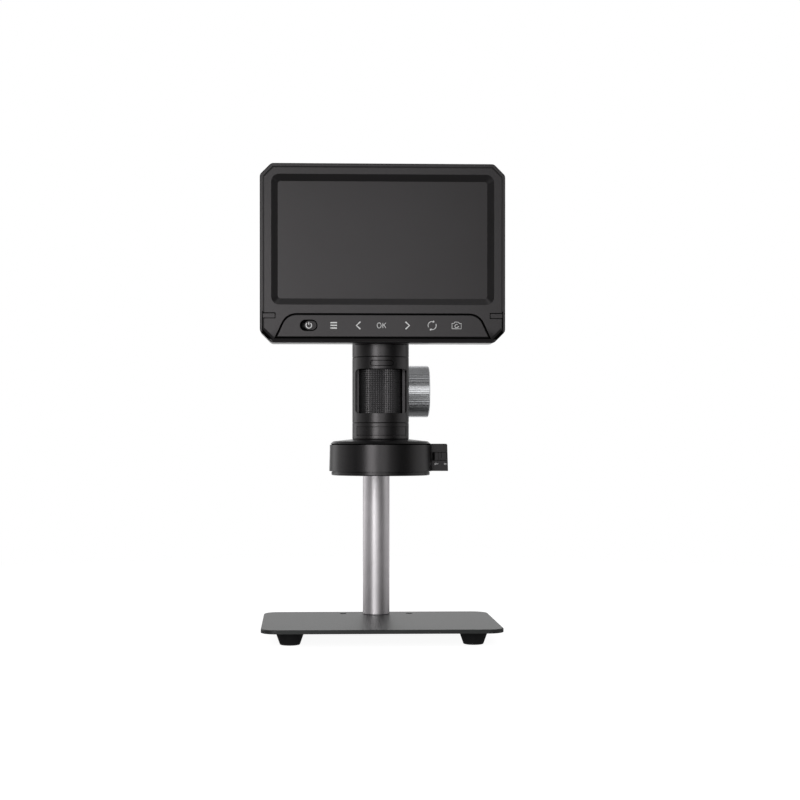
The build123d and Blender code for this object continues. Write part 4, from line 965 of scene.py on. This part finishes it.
# ------------------------------------------------------------------ printed signs
@dataclass(frozen=True)
class Sign:
    """Printed sign: its strokes, across and up from its centre, and their width."""

    name: str
    lines: Sequence[Sequence[Flat]]
    width: float
    ink_height: float = 0.03 * MM
    soft_angle: float = 60.0

    def draw(self, face_y: float, centre: Flat) -> bpy.types.Object:
        """Draws the sign with round-ended strokes on a face that looks to the front.

        Args:
            face_y: Face that the sign is printed on.
            centre: Sign's centre in x and z.

        Returns:
            The sign as a mesh.
        """
        curve = bpy.data.curves.new(self.name, "CURVE")
        curve.dimensions = "3D"
        curve.bevel_depth = self.width / 2
        curve.bevel_resolution = 2
        curve.use_fill_caps = True
        for line in self.lines:
            spline = curve.splines.new("POLY")
            spline.points.add(len(line) - 1)
            for point, (across, up) in zip(spline.points, line):
                point.co = (centre[0] + across, face_y, centre[1] + up, 1.0)
        take_up(bpy.data.objects.new(self.name, curve))
        bpy.ops.object.convert(target="MESH")
        bench = Bench(self.name)
        bpy.ops.mesh.select_all(action="SELECT")
        bench.scale((1.0, 2 * self.ink_height / self.width, 1.0), (centre[0], face_y, centre[1]))
        return bench.finish(self.soft_angle)


def drawn(*points: Flat) -> list[Flat]:
    """Points of a stroke that are written in millimetres."""
    return [(across * MM, up * MM) for across, up in points]


def arc(radius: float, start: float, end: float, centre: Flat = (0.0, 0.0)) -> list[Flat]:
    """Points along an arc.

    Args:
        radius: Radius of the arc.
        start: Start angle in degrees, from the right, counter-clockwise.
        end: End angle.
        centre: Centre of the arc.

    Returns:
        Its points.
    """
    steps = 16
    turns = [math.radians(start + (end - start) * step / steps) for step in range(steps + 1)]
    return [(centre[0] + radius * math.cos(turn), centre[1] + radius * math.sin(turn))
            for turn in turns]


def arrow_head(tip: Flat, heading: float, length: float) -> list[Flat]:
    """Two short strokes that meet in an arrow's tip.

    Args:
        tip: Point of the arrow.
        heading: Direction that it points in, in degrees.
        length: Length of either stroke.

    Returns:
        Three points, with the tip in the middle.
    """
    spread = 140
    ends = [math.radians(heading + side) for side in (spread, -spread)]
    first, last = [(tip[0] + length * math.cos(turn), tip[1] + length * math.sin(turn))
                   for turn in ends]
    return [first, tip, last]


def letters(word: str, height: float) -> list[list[Flat]]:
    """Strokes of a word in plain capitals, about its centre.

    Args:
        word: Word made of the letters O, F, N and K.
        height: Height of a letter.

    Returns:
        The strokes.
    """
    half, wide, pitch, steps = height / 2, 0.4 * height, 0.95 * height, 20
    turns = [2 * math.pi * step / steps for step in range(steps + 1)]
    shapes: dict[str, list[list[Flat]]] = {
        "O": [[(wide * math.cos(turn), half * math.sin(turn)) for turn in turns]],
        "F": [[(-wide, -half), (-wide, half), (wide, half)], [(-wide, 0.0), (wide * 0.7, 0.0)]],
        "N": [[(-wide, -half), (-wide, half), (wide, -half), (wide, half)]],
        "K": [[(-0.6 * wide, -half), (-0.6 * wide, half)],
              [(0.9 * wide, half), (-0.6 * wide, -0.1 * half)],
              [(-0.1 * wide, 0.25 * half), (0.9 * wide, -half)]],
    }
    start = -pitch * (len(word) - 1) / 2
    return [[(across + start + pitch * place, up) for across, up in line]
            for place, letter in enumerate(word) for line in shapes[letter]]


def turn_sign(radius: float) -> list[list[Flat]]:
    """Two arrows that chase each other round a circle.

    Args:
        radius: Radius of the circle.

    Returns:
        The strokes.
    """
    lines, starts, turn, barb = [], (205, 25), 145, 0.4 * radius
    for start in starts:
        sweep = arc(radius, start, start - turn)
        lines += [sweep, arrow_head(sweep[-1], start - turn - 90, barb)]
    return lines


def camera_sign() -> list[list[Flat]]:
    """Camera body with a turning arrow in place of its lens.

    Returns:
        The strokes.
    """
    body = drawn((-3.4, -2.3), (3.4, -2.3), (3.4, 1.6), (1.9, 1.6), (1.3, 2.6), (-1.3, 2.6),
                 (-1.9, 1.6), (-3.4, 1.6), (-3.4, -2.3))
    lens_radius, lens_drop, barb = 1.25 * MM, 0.3 * MM, 0.6 * MM
    lens = arc(lens_radius, 60, 350, centre=(0.0, -lens_drop))
    return [body, lens, arrow_head(lens[-1], 80, barb)]


# ------------------------------------------------------------------ sub-assemblies
@dataclass
class SubAssembly:
    """Group of pieces that is dressed together."""

    nodes: dict[str, bpy.types.Object]
    palette: Palette

    def add(self, piece: bpy.types.Object, body: Body, slot: Slot, *replaced: str,
            ink: bool = False) -> bpy.types.Object:
        """Gives a new piece its finish and its body.

        Args:
            piece: Finished object.
            body: Body that it rides on.
            slot: Slot that its finish comes from.
            replaced: Nodes that it stands for.
            ink: Whether it is printed and not made of the slot's material.

        Returns:
            The piece.
        """
        piece.data.materials.clear()
        piece.data.materials.append(self.palette.ink if ink else self.palette.materials[slot])
        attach(piece, body.value)
        if replaced:
            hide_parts(*replaced)
        LOG.info("%s: %d faces, rides on %s", piece.name, len(piece.data.polygons), body.value)
        return piece

    def soft_copy(self, node: str, body: Body, slot: Slot, width: float,
                  segments: int = STRIPS) -> bpy.types.Object:
        """Stands a copy with rounded edges in for a node.

        Args:
            node: Name of the node.
            body: Body that it rides on.
            slot: Slot of its finish.
            width: Width of the rounding.
            segments: Strips in it.

        Returns:
            The new piece.
        """
        piece = Bench.copy(f"soft_{node}", self.nodes[node]).finish()
        soften(piece, width, segments)
        return self.add(piece, body, slot, node)

    def build(self) -> None:
        """Makes and dresses the pieces."""
        raise NotImplementedError


@dataclass
class Stand(SubAssembly):
    """Plate and feet. The column stays as the frame has it."""

    plate_edge: float = 0.35 * MM
    foot_edge: float = 0.5 * MM

    def build(self) -> None:
        """Softens the plate and the feet."""
        self.soft_copy("base_plate", Body.STAND, Slot.PLATE, self.plate_edge)
        self.soft_copy("rubber_feet", Body.STAND, Slot.FOOT, self.foot_edge, ROUND_STRIPS)


@dataclass
class FocusBlock(SubAssembly):
    """Block on the column, and the knob of its lock screw."""

    block_edge: float = 0.5 * MM
    knob_edge: float = 0.3 * MM

    def build(self) -> None:
        """Softens the block and the lock knob."""
        self.soft_copy("focus_block", Body.BLOCK, Slot.BLOCK, self.block_edge, ROUND_STRIPS)
        self.soft_copy("lock_knob", Body.LOCK, Slot.LOCK, self.knob_edge)


@dataclass
class FocusKnob(SubAssembly):
    """Bright knob with straight serrations, a dished front and a bore for its shaft."""

    rib_count: int = 90
    rib_steps: int = 7
    rib_height: float = 0.1 * MM
    chamfer: float = 0.7 * MM
    rim: float = 2.6 * MM
    dish_slope: float = 0.25 * MM
    dish: float = 1.2 * MM
    land: float = 3.0 * MM
    groove_slope: float = 0.2 * MM
    groove: float = 0.25 * MM
    boss_radius: float = 6.0 * MM
    bore_radius: float = 3.05 * MM
    bore_depth: float = 15.0 * MM
    soft_angle: float = 8.0

    def build(self) -> None:
        """Cuts the knob from a many-sided cylinder."""
        low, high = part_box("focus_knob")
        axis = ((low.y + high.y) / 2, (low.z + high.z) / 2)
        radius = (high.z - low.z) / 2
        sides = self.rib_count * self.rib_steps
        ends = (low.x + self.chamfer, high.x - self.chamfer)
        bench = Bench.cylinder("serrated_knob", radius, ends, axis, sides, lying=True)

        def in_valley(vert: bmesh.types.BMVert) -> bool:
            """Whether a vertex lies between two ribs."""
            turn = math.atan2(vert.co.z - axis[1], vert.co.y - axis[0])
            return round(turn * sides / (2 * math.pi)) % self.rib_steps == 0

        bench.pick(Part.VERTS, in_valley)
        shrink = 1 - self.rib_height / radius
        bench.scale((1.0, shrink, shrink), (0.0, *axis))
        edge = 1 - self.chamfer / radius
        for side, end in ((1, high.x), (-1, low.x)):
            bench.pick(Part.FACES, lambda face, side=side: face.normal.x * side > FACING)
            bench.push((side * self.chamfer, 0.0, 0.0))
            bench.scale((1.0, edge, edge), (end, *axis))
            bench.pick(Part.VERTS, lambda vert, end=end: abs(vert.co.x - end) < TOUCH
                       and in_valley(vert))
            bench.scale((1.0, 1 / shrink, 1 / shrink), (end, *axis))
            bench.pick(Part.FACES, lambda face, side=side: face.normal.x * side > FACING)
            if side == 1:
                self.dish_front(bench, radius)
            else:
                bench.inset(radius - self.chamfer - self.bore_radius)
                bench.push((self.bore_depth, 0.0, 0.0))
        self.add(bench.finish(self.soft_angle), Body.KNOB, Slot.KNOB, "focus_knob")

    def dish_front(self, bench: Bench, radius: float) -> None:
        """Sinks the selected front face inside its rim, and cuts a groove round its boss.

        Args:
            bench: Bench with the knob on it.
            radius: Radius of the knob.
        """
        floor = (radius - self.rim - self.dish_slope - self.land - self.groove_slope
                 - self.boss_radius)
        for width, rise in ((self.rim - self.chamfer, 0.0), (self.dish_slope, -self.dish),
                            (self.land, 0.0), (self.groove_slope, -self.groove),
                            (floor, 0.0), (self.groove_slope, self.groove)):
            bench.inset(width, rise)


@dataclass
class FocusRing(SubAssembly):
    """Ring with pointed studs that is turned through the window."""

    columns: int = 66
    rows: int = 21
    stud_height: float = 0.3 * MM
    slope: float = 0.55 * MM
    rim: float = 0.8 * MM
    rim_step: float = 2.4 * MM
    wall: float = 3.2 * MM
    soft_angle: float = 15.0

    def build(self) -> None:
        """Raises the studs from an open cylinder, then gives it its rims and inner wall."""
        low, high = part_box("focus_ring")
        axis = ((low.x + high.x) / 2, (low.y + high.y) / 2)
        radius = (high.x - low.x) / 2
        valley = radius - self.stud_height
        shoulder, bore = valley - self.rim_step, radius - self.wall
        ends = (low.z + self.rim, high.z - self.rim)
        bench = Bench.cylinder("studded_focus_ring", valley, ends, axis, self.columns,
                               capped=False)
        bench.pick(Part.EDGES, lambda edge: abs(edge.verts[0].co.z - edge.verts[1].co.z) > MM)
        bpy.ops.mesh.subdivide(number_cuts=self.rows - 1)
        bench.pick(Part.FACES, lambda face: True)
        bench.inset(self.slope, self.stud_height, each=True)
        for end, rim in zip(ends, (-self.rim, self.rim)):
            bench.pick(Part.EDGES, lambda edge, end=end: edge.is_boundary and all(
                abs(vert.co.z - end) < TOUCH for vert in edge.verts))
            for before, after, rise in ((valley, shoulder, 0.0), (shoulder, shoulder, rim),
                                        (shoulder, bore, 0.0)):
                bench.push((0.0, 0.0, rise))
                bench.scale((after / before, after / before, 1.0), (*axis, end))
        bench.pick(Part.EDGES, lambda edge: edge.is_boundary)
        bpy.ops.mesh.bridge_edge_loops()
        self.add(bench.finish(self.soft_angle), Body.RING, Slot.FOCUS_RING, "focus_ring")


@dataclass
class CameraTube(SubAssembly):
    """Tube with its window and cage, its neck, lower barrel, label field and button."""

    seam_edge: float = 0.08 * MM
    window_edge: float = 0.1 * MM
    label_edge: float = 0.3 * MM
    button_edge: float = 0.5 * MM

    def build(self) -> None:
        """Softens the tube's parts and the button."""
        self.soft_copy("tube_housing", Body.SCOPE, Slot.TUBE, self.window_edge)
        for barrel in ("neck", "lower_barrel"):
            self.soft_copy(barrel, Body.SCOPE, Slot.TUBE, self.seam_edge)
        self.soft_copy("label_inlay", Body.SCOPE, Slot.TRIM, self.label_edge)
        self.soft_copy("ring_cage", Body.SCOPE, Slot.CAGE, self.window_edge)
        self.soft_copy("snap_button", Body.BUTTON, Slot.TRIM, self.button_edge, ROUND_STRIPS)


@dataclass
class RingLight(SubAssembly):
    """Ring light with its switch box."""

    edge: float = 0.12 * MM
    box_edge: float = 0.3 * MM
    label_size: float = 1.05 * MM
    label_stroke: float = 0.22 * MM
    label_drop: float = 2.7 * MM
    off_inset: float = 1.3 * MM
    on_inset: float = 0.7 * MM

    def build(self) -> None:
        """Softens the shells and the switch, and prints its two positions."""
        for shell in ("ring_housing", "ring_cover", "ring_lip"):
            self.soft_copy(shell, Body.SCOPE, Slot.LIGHT, self.edge)
        box = self.soft_copy("switch_box", Body.SCOPE, Slot.LIGHT, self.box_edge, ROUND_STRIPS)
        box.data.materials[0] = self.palette.matt_box
        self.soft_copy("light_switch", Body.LIGHT_SWITCH, Slot.SWITCH, self.edge)
        face_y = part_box("switch_box")[0].y
        slider_low, slider_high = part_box("light_switch")
        up = slider_low.z - self.label_drop
        for word, across in (("OFF", slider_low.x + self.off_inset),
                             ("ON", slider_high.x - self.on_inset)):
            sign = Sign(f"sign_{word.lower()}", letters(word, self.label_size), self.label_stroke)
            self.add(sign.draw(face_y, (across, up)), Body.SCOPE, Slot.SWITCH, ink=True)


@dataclass
class DisplayHead(SubAssembly):
    """Head with its shells, key panel, inlays, power slider and printed signs."""

    shell_edge: float = 0.15 * MM
    panel_edge: float = 0.12 * MM
    slider_edge: float = 0.3 * MM
    key_rise: float = 12.6 * MM
    key_pitch: float = 18.1 * MM
    bold_stroke: float = 0.95 * MM
    letter_height: float = 3.8 * MM
    letter_shift: float = -1.0 * MM
    letter_stroke: float = 0.4 * MM
    turn_radius: float = 3.0 * MM
    turn_stroke: float = 0.5 * MM
    camera_stroke: float = 0.42 * MM
    power_radius: float = 2.05 * MM
    power_shift: float = -1.3 * MM
    power_stroke: float = 0.65 * MM

    def build(self) -> None:
        """Softens the shells and prints the keys."""
        for shell in ("front_bezel", "rear_cover"):
            self.soft_copy(shell, Body.HEAD, Slot.HEAD, self.shell_edge)
        self.soft_copy("button_panel", Body.HEAD, Slot.PANEL, self.panel_edge)
        self.soft_copy("side_inlays", Body.HEAD, Slot.TRIM, self.panel_edge)
        self.soft_copy("power_slider", Body.POWER, Slot.SWITCH, self.slider_edge, ROUND_STRIPS)
        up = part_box("front_bezel")[0].z + self.key_rise
        self.print_keys(up)
        self.print_power(up)

    def print_keys(self, up: float) -> None:
        """Prints the six keys on the panel.

        Args:
            up: Height of their centres.
        """
        face_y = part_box("button_panel")[0].y
        bars = [drawn((-2.4, rise), (2.4, rise)) for rise in (-2.0, 0.0, 2.0)]
        chevron = drawn((1.5, 2.7), (-1.4, 0.0), (1.5, -2.7))
        mirrored = [(-across, rise) for across, rise in chevron]
        word = [[(across + self.letter_shift, rise) for across, rise in line]
                for line in letters("OK", self.letter_height)]
        signs = (Sign("sign_menu", bars, self.bold_stroke),
                 Sign("sign_left", [chevron], self.bold_stroke),
                 Sign("sign_ok", word, self.letter_stroke),
                 Sign("sign_right", [mirrored], self.bold_stroke),
                 Sign("sign_turn", turn_sign(self.turn_radius), self.turn_stroke),
                 Sign("sign_camera", camera_sign(), self.camera_stroke))
        for place, sign in enumerate(signs, start=-2):
            piece = sign.draw(face_y, (place * self.key_pitch, up))
            self.add(piece, Body.HEAD, Slot.PANEL, ink=True)

    def print_power(self, up: float) -> None:
        """Prints the power sign on its slider.

        Args:
            up: Height of its centre.
        """
        low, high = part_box("power_slider")
        lines = [arc(self.power_radius, 125, 415), drawn((0.0, 0.4), (0.0, 2.4))]
        across = (low.x + high.x) / 2 + self.power_shift
        piece = Sign("sign_power", lines, self.power_stroke).draw(low.y, (across, up))
        self.add(piece, Body.POWER, Slot.PANEL, ink=True)


# ------------------------------------------------------------------ studio
@dataclass
class Softbox:
    """Rectangular lamp that looks at the microscope. Its angles are in degrees."""

    name: str
    azimuth: float
    elevation: float
    reach: float
    width: float
    height: float
    level: float

    def build(self, target: Vector) -> None:
        """Makes the lamp.

        Args:
            target: Point that it looks at.
        """
        turn, rise = math.radians(self.azimuth), math.radians(self.elevation)
        away = Vector((math.sin(turn) * math.cos(rise), -math.cos(turn) * math.cos(rise),
                       math.sin(rise)))
        lamp = bpy.data.lights.new(self.name, "AREA")
        lamp.shape = "RECTANGLE"
        lamp.size, lamp.size_y = self.width, self.height
        lamp.energy = self.level * math.pi * self.width * self.height
        holder = bpy.data.objects.new(self.name, lamp)
        bpy.context.scene.collection.objects.link(holder)
        holder.location = target + away * self.reach
        holder.rotation_euler = away.to_track_quat("Z", "Y").to_euler()
        holder.visible_camera = False


@dataclass
class Viewpoint:
    """Camera a little to the left of the microscope, level with its ring light."""

    place: Point = (-59.78 * MM, -1183.44 * MM, 152.17 * MM)
    turned_right: float = 1.894
    tipped_down: float = 0.298
    lens: float = 68.569
    sensor: float = 36.0
    shift: Flat = (0.06, 0.06)
    clip: Flat = (0.05, 20.0)

    def build(self) -> None:
        """Makes the camera."""
        camera = bpy.data.cameras.new("camera")
        camera.sensor_width, camera.lens = self.sensor, self.lens
        camera.shift_x, camera.shift_y = self.shift
        camera.clip_start, camera.clip_end = self.clip
        holder = bpy.data.objects.new("camera", camera)
        bpy.context.scene.collection.objects.link(holder)
        holder.location = self.place
        holder.rotation_euler = (math.radians(90 - self.tipped_down), 0.0,
                                 -math.radians(self.turned_right))
        bpy.context.scene.camera = holder


@dataclass
class Studio:
    """Pale floor, white surroundings, softboxes and the cards that give metal its dark bands.

    Each stretch of the wall card has its start, its end, both in degrees, and its brightness.
    """

    look_at: Point = (0.0, -30 * MM, 230 * MM)
    floor_half: float = 3.0
    floor_tone: float = 0.3
    floor_glow: float = 0.93
    floor_near: float = 0.35
    floor_far: float = 0.8
    fill_level: float = 0.45
    card_reach: float = 1.25
    card_height: float = 1.3
    card_sides: int = 90
    card_levels: tuple[tuple[float, float, float], ...] = (
        (-160, -136, 0.3), (-136, -84, 0.62), (-84, -66, 0.3), (-66, -32, 0.1), (-32, -4, 0.3),
        (-4, 12, 0.2), (12, 34, 0.3), (34, 62, 0.03), (62, 76, 0.3), (76, 118, 0.6),
        (118, 134, 0.1), (134, 160, 0.3))

    def build(self) -> None:
        """Builds the studio and the camera."""
        for box in (Softbox("front_softbox", azimuth=-23, elevation=2, reach=1.0, width=0.34,
                            height=0.56, level=4.8),
                    Softbox("front_strip", azimuth=3, elevation=4, reach=1.05, width=0.36,
                            height=0.6, level=1.4),
                    Softbox("rear_softbox", azimuth=-128, elevation=8, reach=0.9, width=0.4,
                            height=0.8, level=0.6),
                    Softbox("top_softbox", azimuth=0, elevation=60, reach=0.9, width=0.8,
                            height=0.24, level=1.0)):
            box.build(Vector(self.look_at))
        self.make_world()
        self.make_floor()
        self.make_cards()
        Viewpoint().build()

    def make_world(self) -> None:
        """World that is white where it is seen and a soft fill elsewhere."""
        world = bpy.data.worlds.new("studio")
        world.use_nodes = True
        bpy.context.scene.world = world
        graph = Graph(world.node_tree)
        level = self.seen(graph) * (1 - self.fill_level) + self.fill_level
        glow = graph.node("ShaderNodeBackground", None, {"Color": WHITE, "Strength": level})
        graph.node("ShaderNodeOutputWorld", None, {"Surface": glow})

    @staticmethod
    def seen(graph: Graph) -> Signal:
        """Mask of rays that show a surface: from the camera, in a reflection or through glass.

        Args:
            graph: Graph to add the mask to.

        Returns:
            1 for such rays, else 0.
        """
        hidden: Signal | float = 1.0
        for ray in ("Is Camera Ray", "Is Glossy Ray", "Is Transmission Ray"):
            hidden = hidden * (1 - graph.node("ShaderNodeLightPath", output=ray))
        return 1 - hidden

    def make_floor(self) -> None:
        """Floor that keeps the shadow near the microscope and is white further off."""
        floor = self.flat_piece("floor", (0.0, 0.0, 0.0), (2 * self.floor_half,) * 2)
        made, graph = new_material("studio_floor")
        place = graph.place((1.0, 1.0, 0.0))
        reach = graph.node("ShaderNodeVectorMath", {"operation": "LENGTH"}, {0: place}, "Value")
        far = graph.span(reach, 0.0, 1.0, self.floor_near, self.floor_far)
        matt = graph.node("ShaderNodeBsdfDiffuse", None,
                          {"Color": (self.floor_tone,) * 3 + (1.0,)})
        glow = graph.node("ShaderNodeEmission", None,
                          {"Color": WHITE, "Strength": self.seen(graph) * self.floor_glow})
        near = graph.node("ShaderNodeAddShader", None, {0: matt, 1: glow})
        white = graph.node("ShaderNodeEmission", None,
                           {"Color": WHITE, "Strength": self.seen(graph)})
        floor_shader = graph.node("ShaderNodeMixShader", None, {0: far, 1: near, 2: white})
        graph.node("ShaderNodeOutputMaterial", None, {"Surface": floor_shader})
        floor.data.materials.append(made)

    def make_cards(self) -> None:
        """Cards that only reflections see: a wall in stretches, one below and one above."""
        for number, (start, end, level) in enumerate(self.card_levels):
            self.dress_card(self.card_wall(f"wall_card_{number}", start, end), level)
        for name, centre, size, level in (
                ("floor_card", (0.0, -0.35, 1 * MM), (1.6, 1.3), 0.2),
                ("ceiling_card", (0.0, 0.0, 1.3), (2.7, 2.7), 0.28)):
            self.dress_card(self.flat_piece(name, centre, size), level)

    @staticmethod
    def dress_card(made: bpy.types.Object, level: float) -> None:
        """Gives a card its glow, and hides it from all but reflections.

        Args:
            made: Card.
            level: Brightness of its reflection.
        """
        surface, graph = new_material(f"studio_{made.name}")
        glow = graph.node("ShaderNodeEmission", None,
                          {"Color": (level, level, level, 1.0), "Strength": 1.0})
        graph.node("ShaderNodeOutputMaterial", None, {"Surface": glow})
        made.data.materials.append(surface)
        for flag in ("visible_camera", "visible_diffuse", "visible_shadow",
                     "visible_transmission"):
            setattr(made, flag, False)

    def card_wall(self, name: str, start: float, end: float) -> bpy.types.Object:
        """Stretch of the curved wall round the microscope.

        Args:
            name: Name of the card.
            start: Azimuth that it starts at, in degrees.
            end: Azimuth that it ends at.

        Returns:
            The card.
        """
        bench = Bench.cylinder(name, self.card_reach, (0.0, self.card_height), (0.0, 0.0),
                               self.card_sides, capped=False)

        def outside(face: bmesh.types.BMFace) -> bool:
            """Whether a face lies outside this stretch."""
            middle = face.calc_center_median()
            return not start < math.degrees(math.atan2(middle.x, -middle.y)) < end

        bench.pick(Part.FACES, outside)
        bpy.ops.mesh.delete(type="FACE")
        return bench.finish()

    @staticmethod
    def flat_piece(name: str, centre: Point, size: Flat) -> bpy.types.Object:
        """Level plane.

        Args:
            name: Name of the piece.
            centre: Its middle.
            size: Its size along X and along Y.

        Returns:
            The plane.
        """
        bpy.ops.object.select_all(action="DESELECT")
        bpy.ops.mesh.primitive_plane_add(size=1.0, location=centre)
        bpy.context.active_object.scale = (*size, 1.0)
        return Bench(name).finish()


def dress_nodes(nodes: dict[str, bpy.types.Object], palette: Palette) -> None:
    """Gives every node of the frame the finish of its slot, or one of its own.

    Args:
        nodes: Objects of the frame by name.
        palette: All finishes.
    """
    known = {slot.value: slot for slot in Slot}
    # light_switch_body and touch_board take near-black finishes that paint the shade of their
    # recess and slot
    special = {"light_switch_body": palette.recess, "touch_board": palette.dark_board}
    for name, node in sorted(nodes.items()):
        slot = known[node.data.materials[0].name.split(".")[0]]
        node.data.materials[0] = special.get(name, palette.materials[slot])
        LOG.info("node %s: %s", name, slot.value)


def main() -> None:
    """Dresses the microscope and builds the studio."""
    logging.basicConfig(level=logging.INFO, format="%(message)s")
    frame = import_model()
    bpy.context.scene.view_settings.view_transform = "Standard"
    palette = Palette()
    dress_nodes(frame["nodes"], palette)
    for kind in (Stand, FocusBlock, FocusKnob, FocusRing, CameraTube, RingLight, DisplayHead):
        kind(frame["nodes"], palette).build()
    Studio().build()


if __name__ == "__main__":
    main()
